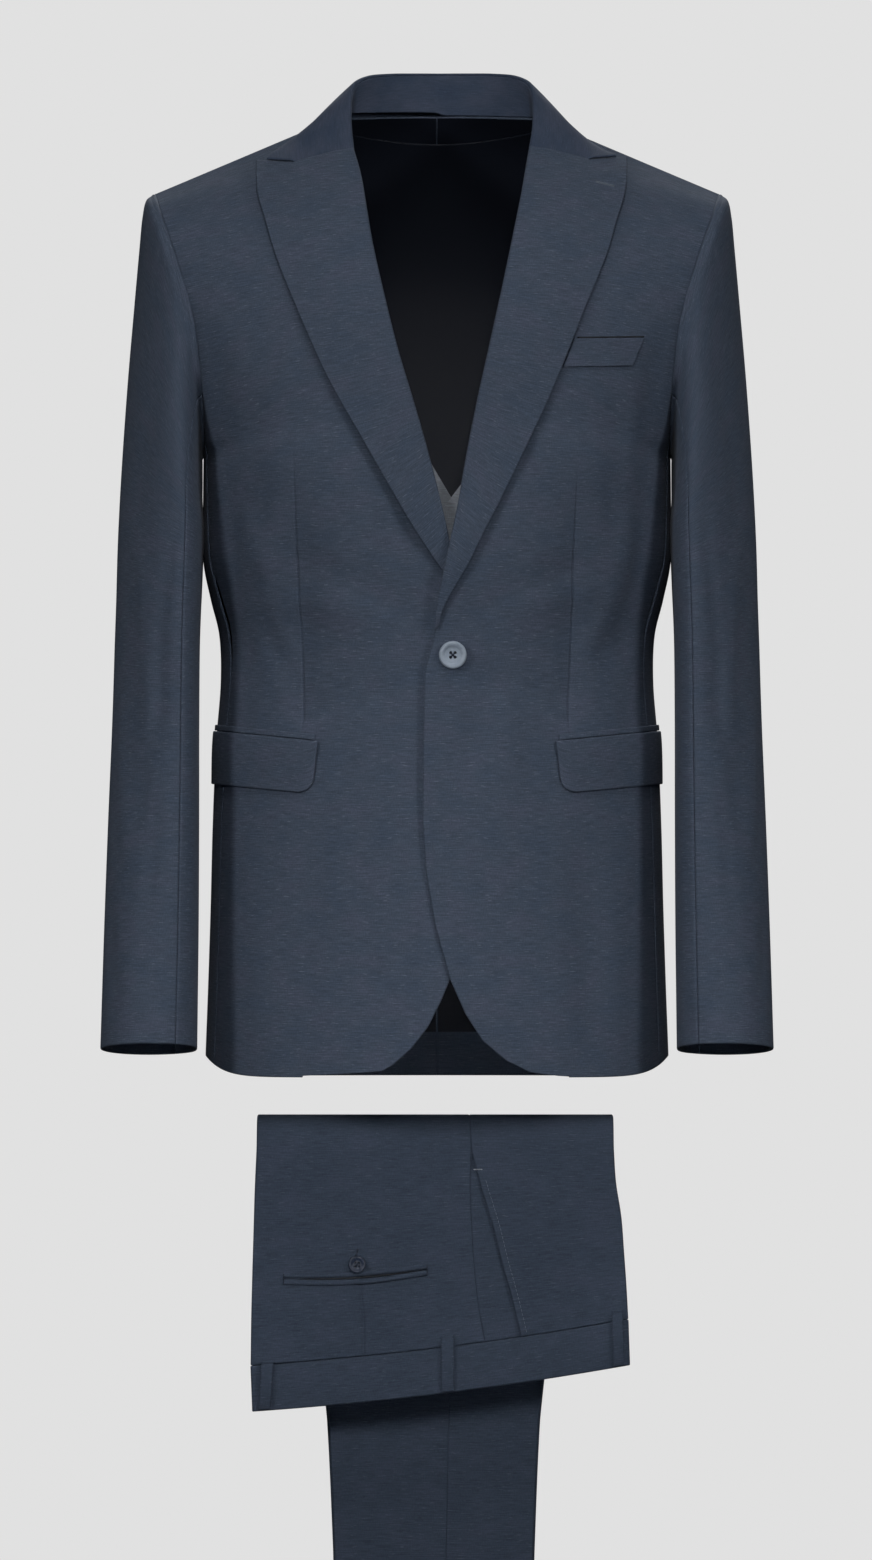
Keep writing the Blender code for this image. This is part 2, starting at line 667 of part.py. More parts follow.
def flap_place(side, share, fall, lift):
    """The flap hangs from the pocket line; its two lower corners are rounded."""
    near_end = min(share, 1.0 - share) * POCKET["width"]
    corner = POCKET["corner"]
    cut = 0.0
    if near_end < corner:
        cut = corner - math.sqrt(max(corner ** 2 - (corner - near_end) ** 2, 0.0))
    lean = 0.02 * (1.0 - fall) * (1.0 if share < 0.5 else -1.0) * (abs(2 * share - 1))
    return pocket_place(side, share - lean, fall * (POCKET["drop"] - cut), lift)


def build_pockets():
    shares = [0.0, 0.03, 0.09, 0.2, 0.32, 0.44, 0.56, 0.68, 0.8, 0.91, 0.97, 1.0]
    for side in (1, -1):
        label = side_name(side)
        cloth("pocket_flap_" + label, shares, [0.0, 0.35, 0.7, 1.0],
              lambda share, fall, lift: flap_place(side, share, fall, lift),
              0.6 * MM, 2.4 * MM, WORSTED)
        cloth("pocket_jet_" + label, shares, [-POCKET["jet"], -0.4],
              lambda share, depth, lift: pocket_place(side, share, depth, lift),
              0.4 * MM, 1.8 * MM, WORSTED)


def welt_place(along, fall, lift):
    """The chest welt: a leaning strip whose ends follow the lapel's edge."""
    out = WELT["out"] + along * WELT["width"] - WELT["slant"] * fall
    row, turn = locate(out, WELT["top_z"] - fall * WELT["height"] + 1.0 * along)
    return body_lifted(1, row, turn, lift)


def turned(name, profile, centre, finish, steps=24):
    """A round piece turned about the Y axis: profile rows are radius and distance out."""
    rings = []
    for radius, out in profile:
        rings.append([centre + Vector((radius * math.cos(a), -out, radius * math.sin(a)))
                      for a in (math.tau * i / steps for i in range(steps))])
    return loft(name, rings, finish)


def button_profile(radius, thick):
    """Back, rounded rim and dished face of a sewn button."""
    return ((0.35 * radius, 0.0), (0.82 * radius, 0.0), (radius, 0.45 * thick),
            (0.96 * radius, 0.9 * thick), (0.82 * radius, thick),
            (0.66 * radius, 0.86 * thick), (0.54 * radius, 0.62 * thick),
            (0.2 * radius, 0.56 * thick))


def build_trims():
    cloth("chest_welt", spread(0.0, 1.0, 7), spread(0.0, 1.0, 3), welt_place,
          0.4 * MM, 1.9 * MM, WORSTED)
    row, turn = locate(BUTTON["out"], BUTTON["z"])
    seat = body_lifted(1, row, turn, front_lift(1, row, turn) + 0.5 * MM)
    profile = button_profile(BUTTON["radius"] * MM, BUTTON["thick"] * MM)
    turned("button_front", profile, seat, RESIN)


# ---------------------------------------------------------------------------
# Waistcoat: the same surface, moved in. Its left front lies over the right one.

WAISTCOAT_LEFT_NECK = table(
    "height out",
    (-520.0, -18.0), (-330.0, -14.0), (-307.3, 4.7), (-286.8, 20.4), (-265.0, 36.0),
    (-240.0, 50.0), (-181.0, 64.0), (-134.0, 72.0), (-95.0, 79.0), (-61.0, 84.0),
    (-22.0, 88.0), (4.0, 92.0),
)
WAISTCOAT_RIGHT_NECK = table(
    "height out",
    (-520.0, -28.0), (-318.0, -22.0), (-297.0, -10.0), (-264.7, 9.0), (-240.0, 25.0),
    (-181.0, 50.0), (-134.0, 64.0), (-95.0, 72.0), (-61.0, 78.0), (-22.0, 82.0),
    (4.0, 86.0),
)
WAISTCOAT_LIFT = {1: -6.5, -1: -11.5}      # outer face of each front, mm
WAISTCOAT_SIDE_LIFT = -8.0                 # and at the side seams and the back
WAISTCOAT_SHOULDER_LIFT = -2.8             # its shoulders carry the jacket's
WAISTCOAT_ROWS = [4.7, 6.0, 7.0, 8.0, 9.3, 10.0, 10.5, 11.0, 12.0, 13.0, 14.0, 15.0, 16.0,
                  SHOULDER_ROW - 0.008]
WAISTCOAT_HOLE = table("row share", (10.0, 1.0), (11.0, 0.80), (12.0, 0.68), (13.0, 0.61),
                       (14.0, 0.57), (15.0, 0.53), (16.0, 0.50), (17.0, 0.47))
WAISTCOAT_NECK_ROW = 14.0                  # above it the back's rows bend under the neck
WAISTCOAT_NECK = {"out": 88.0, "z": -14.0}


def waistcoat_reach(row):
    """How far round the waistcoat goes at a row, as a share of the turn to the side."""
    return 1.0 if row <= 10.0 else read(WAISTCOAT_HOLE, "share", row - 10.0)


def waistcoat_lift(row, front_lift_mm, share):
    """Outer face of the waistcoat, in metres off the jacket's face."""
    base = front_lift_mm + (WAISTCOAT_SIDE_LIFT - front_lift_mm) * ease(share, 0.4, 1.0)
    return (base + (WAISTCOAT_SHOULDER_LIFT - base) * ease(row, 14.5, 16.5)) * MM


def waistcoat_front_place(side, row, share, lift):
    first = edge_turn(WAISTCOAT_LEFT_NECK if side > 0 else WAISTCOAT_RIGHT_NECK, row)
    last = 90.0 * waistcoat_reach(row) - 0.08
    return body_lifted(side, row, first + (last - first) * share,
                       lift + waistcoat_lift(row, WAISTCOAT_LIFT[side], share))


def waistcoat_back_place(row, share, lift):
    """share runs from the wearer's right side, -1, to the left side, 1. Near the neck the
    rows bend down to the neckline."""
    side = 1 if share >= 0 else -1
    last = 90.0 * (2.0 - waistcoat_reach(row)) + 0.08
    turn = 180.0 + (last - 180.0) * abs(share)
    if row > WAISTCOAT_NECK_ROW:
        out = body_point(1, row, turn).x / MM
        if out < WAISTCOAT_NECK["out"]:
            rise = 11.0 * (out / WAISTCOAT_NECK["out"]) ** 2
            top = locate(out, WAISTCOAT_NECK["z"] + rise, front=False)[0]
            scale = (top - WAISTCOAT_NECK_ROW) / (SHOULDER_ROW - WAISTCOAT_NECK_ROW)
            row = WAISTCOAT_NECK_ROW + (row - WAISTCOAT_NECK_ROW) * min(scale, 1.0)
    return body_lifted(side, row, turn, lift + waistcoat_lift(row, WAISTCOAT_SIDE_LIFT, 1.0))


def build_waistcoat():
    for side in (1, -1):
        cloth("waistcoat_front_" + side_name(side), WAISTCOAT_ROWS, spread(0.0, 1.0, 5),
              lambda row, share, lift: waistcoat_front_place(side, row, share, lift),
              -THIN, 0.0, GREY_WORSTED)
    cloth("waistcoat_back", WAISTCOAT_ROWS, spread(-1.0, 1.0, 11), waistcoat_back_place,
          -THIN, 0.0, LINING)


# ---------------------------------------------------------------------------
# Trousers. A path runs up the hanging waist part, over the bar and down the legs. Rows give
# where each row's ends are; layer depths are measured in from the outermost face.

BAR_Z = -812.0            # centre of the fold's curve
BAR_GAP = 14.0            # inner radius of the fold
STACK = 12.0              # four layers of cloth, with some air
HEM_Z = -1560.0
BAND = 36.5               # width of the waistband

# The hanging part: even rows from the start of the fold down to the waistband's seam.
HANGING = table("left_x right_x seam_x slant_x",
                (-142.7, 139.8, 26.9, 26.9),
                (-144.2, 141.6, 26.3, 35.0),
                (-145.2, 145.8, 27.6, 44.2),
                (-146.2, 147.9, 29.5, 51.6),
                (-147.0, 149.8, 32.8, 59.6),
                (-147.4, 151.3, 37.8, 66.5))
BAND_ENDS = {"left_x": (-147.4, -146.0), "right_x": (151.3, 152.5)}
# The legs behind the bar: fall is how far below the start of the fold a row lies.
LEGS = table("fall left_x right_x seam_x",
             (0.0, -142.0, 139.2, 24.0),
             (45.0, -133.0, 129.5, 20.0),
             (95.0, -113.0, 108.5, 14.5),
             (150.0, -95.5, 90.5, 10.8),
             (215.0, -87.2, 81.8, 9.2),
             (320.0, -82.3, 77.3, 7.3),
             (500.0, -78.5, 74.0, 6.0),
             (748.0, -75.5, 71.5, 5.0))


def waist_z(x_mm):
    """Height of the waist edge: it hangs lower at the back of the trousers."""
    return -1007.0 + 0.122 * x_mm + 0.000185 * x_mm ** 2


def trouser_sizes(path):
    """Ends and seam of a row. path is -1 to 0 up the hanging part, 0 to 1 over the bar and
    1 to 2 down the legs."""
    names = ("left_x", "right_x", "seam_x")
    if path <= 0.0:
        return {name: read(HANGING, name, hanging_row(path)) for name in names}
    if path < 1.0:
        start, end = ({name: source[name][0] for name in names} for source in (HANGING, LEGS))
        return {name: start[name] + (end[name] - start[name]) * path for name in names}
    fall = (BAR_Z - HEM_Z) * (path - 1.0)
    return {name: read(LEGS, name, leg_row(fall)) for name in names}


def hanging_row(path):
    return min(-path, 1.0) * (len(HANGING["left_x"]) - 1)


def leg_row(fall):
    """The fractional row of LEGS at a fall."""
    falls = LEGS["fall"]
    for i in range(len(falls) - 1):
        if fall <= falls[i + 1]:
            return i + (fall - falls[i]) / (falls[i + 1] - falls[i])
    return len(falls) - 1.0


def trouser_place(path, x_mm, depth, trim=0.0):
    """A point of the trousers; depth is in from the outermost face, and trim shortens the
    path at its two ends, both in mm."""
    radius = BAR_GAP + STACK - depth
    if path <= 0.0:
        fall = (BAR_Z - waist_z(x_mm) - trim) * -path
        return Vector((x_mm, -radius, BAR_Z - fall)) * MM
    if path < 1.0:
        angle = math.pi * path
        return Vector((x_mm, -radius * math.cos(angle), BAR_Z + radius * math.sin(angle))) * MM
    fall = (BAR_Z - HEM_Z - trim) * (path - 1.0)
    return Vector((x_mm, radius, BAR_Z - fall)) * MM


def band_path(x_mm):
    """The path value of the waistband's seam at this x."""
    return -(1.0 - BAND / (BAR_Z - waist_z(x_mm)))


def panel_path(path, x_mm):
    """A panel's own path, -1 at its waist end, as the path of trouser_place: it stops just
    short of the waistband's seam."""
    return path * -band_path(x_mm) * 0.999


def panel_x(path, share, start, end, gaps):
    """Across a trouser panel, between two edges that are names of sizes."""
    sizes = trouser_sizes(path)
    first = edge_x(path, start, sizes) + gaps[0]
    last = edge_x(path, end, sizes) + gaps[1]
    return first + (last - first) * share


def edge_x(path, name, sizes):
    """The x of a panel's edge; the pocket's slant leaves the side seam part way down."""
    if name == "slant_x":
        if path > 0.0:
            return sizes["seam_x"]
        return read(HANGING, "slant_x", hanging_row(path))
    return sizes[name]


PANEL_PATHS = [-1.0, -0.8, -0.6, -0.4, -0.2, 0.0, 0.125, 0.25, 0.375, 0.5, 0.625, 0.75,
               0.875, 1.0, 1.06, 1.127, 1.2, 1.287, 1.43, 1.67, 2.0]


def trouser_panel(name, start, end, gaps, low, high, trim=0.0):
    """One panel of a leg's outer side, from the waistband's seam to the hem."""
    def place(path, share, depth):
        x = panel_x(path, share, start, end, gaps)
        along = panel_path(path, x) if path < 0.0 else path
        return trouser_place(along, x, depth, trim)
    cloth(name, PANEL_PATHS, spread(0.0, 1.0, 3), place, low, high, TROUSER_WORSTED)


LAYER = {"outer": (0.0, 2.0), "inner": (10.0, 12.0), "hidden": (2.4, 9.6)}


def build_trouser_panels():
    low, high = LAYER["outer"]
    trouser_panel("trouser_left_back", "left_x", "seam_x", (0.0, -0.15), high, low)
    trouser_panel("trouser_left_front", "slant_x", "right_x", (0.15, 0.0), high, low)
    low, high = LAYER["inner"]
    trouser_panel("trouser_right_back", "left_x", "seam_x", (1.0, -0.15), high, low, 2.0)
    trouser_panel("trouser_right_front", "seam_x", "right_x", (0.15, -1.0), high, low, 2.0)


def build_hidden_layers():
    """The legs' inner sides: one rounded solid with a groove between the two layers."""
    low, high = LAYER["hidden"]
    middle = (low + high) / 2
    profile = ((0.6, 0.25), (0.0, 0.5), (0.6, 0.8), (2.6, 0.97))
    rings = []
    for path in PANEL_PATHS:
        sizes = trouser_sizes(path)
        left, right = sizes["left_x"] + 1.5, sizes["right_x"] - 1.5
        half = []
        for inset, share in profile:
            half.append((inset, middle + (high - middle) * share))
        lower = [(inset, 2 * middle - depth) for inset, depth in reversed(half)]
        edge = lower + [(2.2, middle)] + half
        ring = [trouser_place(path, left + inset, depth, 4.0) for inset, depth in edge]
        ring += [trouser_place(path, right - inset, depth, 4.0) for inset, depth in reversed(edge)]
        rings.append(ring)
    loft("trouser_inner_layers", rings, TROUSER_WORSTED)


def band_place(share, fall, depth, inset, trim):
    """The waistband: share across, fall from its seam to the waist edge."""
    ends = {name: pair[0] + (pair[1] - pair[0]) * fall for name, pair in BAND_ENDS.items()}
    left, right = ends["left_x"] + inset, ends["right_x"] - inset
    x = left + (right - left) * share
    seam = band_path(x) * 1.001
    return trouser_place(seam + (-1.0 - seam) * fall, x, depth, trim)


def build_waistband():
    low, high = LAYER["outer"]
    cloth("waistband_left", spread(0.0, 1.0, 9), [0.0, 0.5, 1.0],
          lambda share, fall, depth: band_place(share, fall, depth, 0.0, 0.0),
          high, low - 0.6, TROUSER_WORSTED)
    low, high = LAYER["inner"]
    cloth("waistband_right", spread(0.0, 1.0, 9), [0.0, 0.5, 1.0],
          lambda share, fall, depth: band_place(share, fall, depth, 1.0, 2.0),
          high, low, TROUSER_WORSTED)


# centre_x at the seam end and at the waist end, width, and how far it starts above the seam
LOOPS = {
    "belt_loop_back": {"seam_x": -134.0, "waist_x": -136.5, "width": 9.6, "above": 3.0},
    "belt_loop_side": {"seam_x": 8.3, "waist_x": 8.3, "width": 10.0, "above": 9.0},
    "belt_loop_front": {"seam_x": 142.5, "waist_x": 144.0, "width": 8.6, "above": 9.0},
}
LOOP_LIFT = 1.0           # loops lie this far off the band, and bow out a little more


def loop_place(size, along, share, depth):
    """A belt loop: along runs from its top, above the band's seam, to the waist edge."""
    centre = size["seam_x"] + (size["waist_x"] - size["seam_x"]) * along
    x = centre + (share - 0.5) * size["width"]
    seam = band_path(centre) + size["above"] / (BAR_Z - waist_z(centre))
    bow = 2.2 * math.sin(math.pi * along)
    return trouser_place(seam + (-0.995 - seam) * along, x, depth - LOOP_LIFT - bow)


def build_belt_loops():
    for name, size in LOOPS.items():
        cloth(name, spread(0.0, 1.0, 7), [0.0, 1.0],
              lambda along, share, depth: loop_place(size, along, share, depth),
              0.0, -1.8, TROUSER_WORSTED)


def facing_place(fall, share, depth):
    """The cloth behind the slant pocket, from the side seam to the slant."""
    path = -0.12 - 0.88 * fall
    sizes = trouser_sizes(path)
    first = sizes["seam_x"] + 0.2
    last = max(edge_x(path, "slant_x", sizes) - 0.9, first + 0.4)
    x = first + (last - first) * share
    return trouser_place(panel_path(path, x), x, depth)


BACK_POCKET = {"left_x": -121.5, "right_x": -7.5, "mid_z": -912.0, "rise": 7.5,
               "bow": 3.0, "jet": 4.2}


def back_jet_place(share, fall, depth, upper):
    """One jet of the back pocket: the pair opens slightly in the middle."""
    x = BACK_POCKET["left_x"] + (BACK_POCKET["right_x"] - BACK_POCKET["left_x"]) * share
    middle = math.sin(math.pi * share)
    height = BACK_POCKET["mid_z"] + BACK_POCKET["rise"] * (share - 0.5) - 3.0 * middle
    sign = 1.0 if upper else -1.0
    height += sign * (0.3 + 0.9 * middle + fall * BACK_POCKET["jet"])
    path = -(BAR_Z - height) / (BAR_Z - waist_z(x))
    return trouser_place(path, x, depth)


def build_trouser_trims():
    cloth("side_pocket_facing", spread(0.0, 1.0, 6), [0.0, 1.0], facing_place,
          2.0, 0.9, TROUSER_WORSTED)
    for label, upper in (("upper", True), ("lower", False)):
        cloth("back_pocket_jet_" + label, spread(0.0, 1.0, 9), [0.0, 1.0],
              lambda share, fall, depth: back_jet_place(share, fall, depth, upper),
              -0.3, -1.5, TROUSER_WORSTED)
    centre = trouser_place(-0.5, -63.2, -1.9)
    centre.z = -904.5 * MM
    profile = button_profile(6.9 * MM, 2.4 * MM)
    turned("back_pocket_button", profile, centre, DARK_RESIN, steps=16)


# ---------------------------------------------------------------------------

WORSTED = ((0.048, 0.060, 0.086), 0.85)
TROUSER_WORSTED = ((0.032, 0.041, 0.061), 0.85)
GREY_WORSTED = ((0.114, 0.127, 0.156), 0.85)
LINING = ((0.010, 0.012, 0.019), 0.5)
RESIN = ((0.170, 0.207, 0.255), 0.35)
DARK_RESIN = ((0.030, 0.036, 0.052), 0.4)

for old in list(bpy.data.objects):
    bpy.data.objects.remove(old, do_unlink=True)
SUIT = collection("business_suit")

build_body()
build_sleeves()
build_lapels()
build_collar()
build_pockets()
build_trims()
build_waistcoat()
build_trouser_panels()
build_hidden_layers()
build_waistband()
build_belt_loops()
build_trouser_trims()
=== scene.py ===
# %% [markdown]
# # A business suit
# A jacket in its worn, hollow form, a plain waistcoat inside it, and trousers folded over a bar
# that isn't shown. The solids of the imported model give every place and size. This script lays
# the looks over them: thin shells of cloth with rolled edges and soft creases, a worsted
# weave, a dark satin lining, resin buttons and the stitching that shows.
# Each shell could be sculpted, simulated or worked out by a formula. A tailored suit is
# pressed and padded, so it keeps a clean, known shape: formulas give that exactly, and they
# repeat the same tables as the solids, so that nothing has to be fitted afterwards.

# %% Load the solids as a fixed frame
import math
from functools import partial

import bmesh
import bpy
import numpy as np
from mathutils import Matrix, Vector


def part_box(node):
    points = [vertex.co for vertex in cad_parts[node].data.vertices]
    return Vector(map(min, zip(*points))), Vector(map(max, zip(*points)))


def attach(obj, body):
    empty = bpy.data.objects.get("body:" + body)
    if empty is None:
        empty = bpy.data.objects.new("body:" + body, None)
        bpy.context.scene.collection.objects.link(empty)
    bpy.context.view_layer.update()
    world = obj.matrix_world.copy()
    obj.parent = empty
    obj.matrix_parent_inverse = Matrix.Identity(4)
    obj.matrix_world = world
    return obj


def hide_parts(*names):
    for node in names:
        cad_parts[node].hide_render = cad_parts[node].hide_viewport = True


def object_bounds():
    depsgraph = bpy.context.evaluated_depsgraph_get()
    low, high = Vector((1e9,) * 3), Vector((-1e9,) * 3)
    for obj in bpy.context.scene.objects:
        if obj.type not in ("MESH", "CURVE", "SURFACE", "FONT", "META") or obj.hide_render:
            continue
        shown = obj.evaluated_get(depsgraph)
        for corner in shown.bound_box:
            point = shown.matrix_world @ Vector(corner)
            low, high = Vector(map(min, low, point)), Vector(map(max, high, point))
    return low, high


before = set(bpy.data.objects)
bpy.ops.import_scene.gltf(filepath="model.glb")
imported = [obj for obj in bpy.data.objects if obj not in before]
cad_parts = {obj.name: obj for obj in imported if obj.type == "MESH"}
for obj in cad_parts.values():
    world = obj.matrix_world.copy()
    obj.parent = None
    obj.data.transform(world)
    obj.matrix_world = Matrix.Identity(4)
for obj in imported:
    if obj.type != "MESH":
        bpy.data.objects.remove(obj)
SOLID_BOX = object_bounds()
MM = 0.001
SIDES = ((1, "left"), (-1, "right"))      # the wearer's sides, +X and -X
print("solids:", len(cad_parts))

# %% [markdown]
# ## Curves through short tables
# A tailor's draft gives a few sizes at a few heights, and the pattern cutter draws smooth
# lines through them. Here a table holds such sizes with a name for each column, and `read`
# gives the value at any place between two rows, on a Catmull-Rom curve. It works on whole
# numpy arrays, so one call gives all the points of a panel.

# %% Tables and smooth curves
def table(columns, *rows):
    return dict(zip(columns.split(), np.array(rows, float).T))


def spline(a, b, c, d, t):
    """The Catmull-Rom curve from b to c, between their neighbours a and d."""
    return 0.5 * (2 * b + (c - a) * t + (2 * a - 5 * b + 4 * c - d) * t ** 2
                  + (3 * b - a - 3 * c + d) * t ** 3)


def read(source, column, at):
    """The value of a column at a fractional row."""
    values = source[column]
    at = np.clip(np.asarray(at, float), 0.0, len(values) - 1.0)
    i = np.minimum(at.astype(int), len(values) - 2)
    t = at - i
    ends = (2 * values[0] - values[1], 2 * values[-1] - values[-2])
    v = np.concatenate(([ends[0]], values, [ends[1]]))
    return spline(v[i], v[i + 1], v[i + 2], v[i + 3], t)


def ease(value, start, end):
    """0 before start, 1 after end, smooth between."""
    t = np.clip((value - start) / (end - start), 0.0, 1.0)
    return t * t * (3 - 2 * t)


def search(low, high, below):
    """The value where below() turns from true to false, found by halving."""
    for _ in range(26):
        middle = (low + high) / 2
        move = below(middle)
        low, high = np.where(move, middle, low), np.where(move, high, middle)
    return (low + high) / 2


def length(vectors):
    return np.sqrt((vectors ** 2).sum(-1))


def unit(vectors):
    return vectors / np.maximum(length(vectors), 1e-12)[..., None]


# %% [markdown]
# ## The jacket's surface
# The jacket's body is one smooth surface. A row runs from centre front (turn 0) past the side
# (turn 90) to centre back (turn 180), and the rows climb from the hem to the shoulder. Above
# the underarm a row stops at the armhole. Fronts, sides, backs, lapels, collar, pockets and
# the waistcoat are all regions of this surface at some lift, which is why they lie on each
# other as sewn cloth does.

# %% The jacket's rows, hem to shoulder, in millimetres
BODY = table(
    "front_z back_z side_z side_x front_y back_y arm_y bend square full",
    (-756.0, -756.0, -740.0, 183.2, 126.0, 118.0, 0.0, 14.0, 2.0, 0.5),
    (-730.0, -730.0, -723.0, 182.6, 127.0, 119.0, 0.0, 6.0, 2.0, 0.5),
    (-692.0, -692.0, -689.0, 181.3, 127.5, 120.5, 0.0, 3.0, 2.0, 0.5),
    (-625.0, -625.0, -624.0, 179.2, 127.0, 121.0, 0.0, 2.5, 2.0, 0.5),
    (-556.0, -556.0, -556.0, 177.5, 125.5, 118.0, 0.0, 2.0, 2.0, 0.5),
    (-492.0, -492.0, -492.0, 174.8, 122.0, 112.0, 0.0, 2.0, 2.0, 0.5),
    (-445.0, -445.0, -445.0, 171.2, 119.0, 106.0, 0.0, 2.0, 2.05, 0.495),
    (-408.0, -408.0, -408.0, 172.2, 118.5, 105.5, 0.0, 2.0, 2.1, 0.49),
    (-378.0, -378.0, -379.0, 179.0, 119.5, 108.0, 0.0, 2.0, 2.25, 0.48),
    (-345.0, -345.0, -348.0, 185.0, 121.5, 112.0, 0.0, 2.0, 2.5, 0.455),
    (-305.0, -305.0, -309.0, 185.2, 123.5, 115.5, 0.0, 2.0, 2.85, 0.425),
    (-262.0, -262.0, -267.0, 184.8, 125.0, 118.5, 0.0, 2.0, 3.2, 0.4),
    (-232.0, -228.0, -252.0, 184.6, 125.5, 121.0, 36.0, 2.0, 2.55, 0.5),
    (-188.0, -178.0, -214.0, 186.2, 125.0, 122.5, 61.0, 1.8, 2.3, 0.6),
    (-134.0, -118.0, -162.5, 191.6, 117.0, 118.0, 70.0, 1.6, 2.1, 0.75),
    (-78.0, -58.0, -111.0, 206.0, 91.0, 101.0, 58.0, 1.35, 2.0, 0.85),
    (-22.0, 0.0, -75.0, 218.5, 40.0, 69.0, 33.0, 1.1, 2.0, 0.95),
    (37.2, 37.2, -57.6, 223.7, -20.0, 20.0, 0.0, 1.0, 2.0, 1.0),
)
UNDERARM, SIDE_TOP, SHOULDER = 11.0, 12.0, 17.0     # rows
SIDE_SEAM_Y = 36.0
NECK_X = 4.0


def body_point(side, row, turn):
    """A point of the jacket's outer face. side is 1 for the wearer's left, -1 for the right."""
    row, turn = np.broadcast_arrays(np.asarray(row, float), np.asarray(turn, float))
    front = turn <= 90.0
    across = np.sin(np.radians(turn))
    shape = 1.0 - np.minimum(np.abs(across), 1.0) ** read(BODY, "square", row)
    shape = np.maximum(shape, 0.0) ** read(BODY, "full", row)
    arm = np.maximum(read(BODY, "arm_y", row), 0.0)
    reach = np.where(front, read(BODY, "front_y", row), read(BODY, "back_y", row))
    middle = np.where(front, read(BODY, "front_z", row), read(BODY, "back_z", row))
    depth = arm + (reach - arm) * shape
    height = middle + (read(BODY, "side_z", row) - middle) * (
        np.abs(across) ** read(BODY, "bend", row))
    width = read(BODY, "side_x", row) * across
    return np.stack((side * width, np.where(front, -depth, depth), height), -1) * MM


def half_normal(side, row, turn):
    row, turn = np.broadcast_arrays(np.asarray(row, float), np.asarray(turn, float))
    low, high = np.maximum(row - 0.02, 0.0), np.minimum(row + 0.02, SHOULDER)
    before, after = turn - 0.6, turn + 0.6
    armhole = read(BODY, "arm_y", row) > 0.5
    before = np.where(armhole & (turn > 90.0), np.maximum(before, 90.01), before)
    after = np.where(armhole & (turn <= 90.0), np.minimum(after, 90.0), after)
    around = body_point(side, row, after) - body_point(side, row, before)
    upward = body_point(side, high, turn) - body_point(side, low, turn)
    normal = unit(np.cross(around, upward) * side)
    inward = (row > UNDERARM) & (np.abs(turn - 90.0) < 0.5) & (normal[..., 0] * side < 0.0)
    normal[..., 0] = np.where(inward, 0.0, normal[..., 0])
    return unit(normal)


def body_lifted(side, row, turn, lift):
    """The jacket's face moved out by lift, in metres; the shoulder seam shares one normal."""
    row, turn = np.broadcast_arrays(np.asarray(row, float), np.asarray(turn, float))
    normal = half_normal(side, row, turn)
    shared = unit(normal + half_normal(side, row, 180.0 - turn))
    normal = np.where((row > SHOULDER - 0.05)[..., None], shared, normal)
    return body_point(side, row, turn) + normal * np.asarray(lift)[..., None]


def turn_at(row, x_mm, front=True):
    turn = np.degrees(np.arcsin(np.clip(x_mm / read(BODY, "side_x", row), -1.0, 1.0)))
    return turn if front else 180.0 - turn


def locate(x_mm, z_mm, front=True):
    """The row and turn of the point with this distance out and this height."""
    x_mm, z_mm = np.broadcast_arrays(np.asarray(x_mm, float), np.asarray(z_mm, float))
    row = search(np.zeros(x_mm.shape), np.full(x_mm.shape, SHOULDER),
                 lambda row: body_point(1, row, turn_at(row, x_mm, front))[..., 2] / MM < z_mm)
    return row, turn_at(row, x_mm, front)


def side_seam_turn(row, front=True):
    """The turn of the seam between the side body and the front or back."""
    row = np.asarray(row, float)
    if front:
        turn = search(np.full(row.shape, 40.0), np.full(row.shape, 90.0),
                      lambda turn: -body_point(1, row, turn)[..., 1] / MM > SIDE_SEAM_Y)
    else:
        turn = search(np.full(row.shape, 90.01), np.full(row.shape, 140.0),
                      lambda turn: body_point(1, row, turn)[..., 1] / MM < SIDE_SEAM_Y)
    return np.where(row >= SIDE_TOP, 90.0, turn)


chest = body_point(1, SIDE_TOP, 0.0) - body_point(1, SIDE_TOP, 180.0)
print("chest depth, mm:", round(float(length(chest)) / MM))

# %% [markdown]
# ## One shell of cloth
# Cloth has two faces and an edge that is folded in, so it is never a razor-thin sheet. `shell`
# takes a function that gives points for a row, a column and a lift, makes an outer grid and an
# inner grid, and brings them together at the border on a quarter circle. Blender's Solidify
# modifier would leave square rims; the rolled border catches light as a pressed edge does, and
# two rolled borders side by side read as a seam.

# %% Shells
suit_parts = []
cuts = []
sewn_on = {}


def steps(first, last, count):
    return np.linspace(first, last, count)


def with_rims(values, size, rim=1.3):
    """Grid values from 0 to 1 with extra lines near both ends; size is the span in mm."""
    near = np.array([0.0, 0.06, 0.3, 0.62, 1.0, 1.7]) * rim / size
    inner = values[(values > near[-1] * 1.3) & (values < 1 - near[-1] * 1.3)]
    return np.concatenate((near, inner, 1 - near[::-1]))


def cell_normals(points):
    """The normals of a grid's cells; each is twice as long as its cell is large."""
    return np.cross(points[1:, 1:] - points[:-1, :-1], points[1:, :-1] - points[:-1, 1:])


def running(points, axis):
    """Distance travelled along one axis of a grid, from its first line."""
    gaps = length(np.diff(points, axis=axis))
    start = np.zeros_like(np.take(gaps, [0], axis=axis))
    return np.concatenate((start, np.cumsum(gaps, axis=axis)), axis=axis)


def carried(name, mesh, at=(0.0, 0.0, 0.0)):
    """A new object that rides on the suit's one body."""
    thing = bpy.data.objects.new(name, mesh)
    thing.location = at
    bpy.context.scene.collection.objects.link(thing)
    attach(thing, "root")
    suit_parts.append(thing)
    return thing


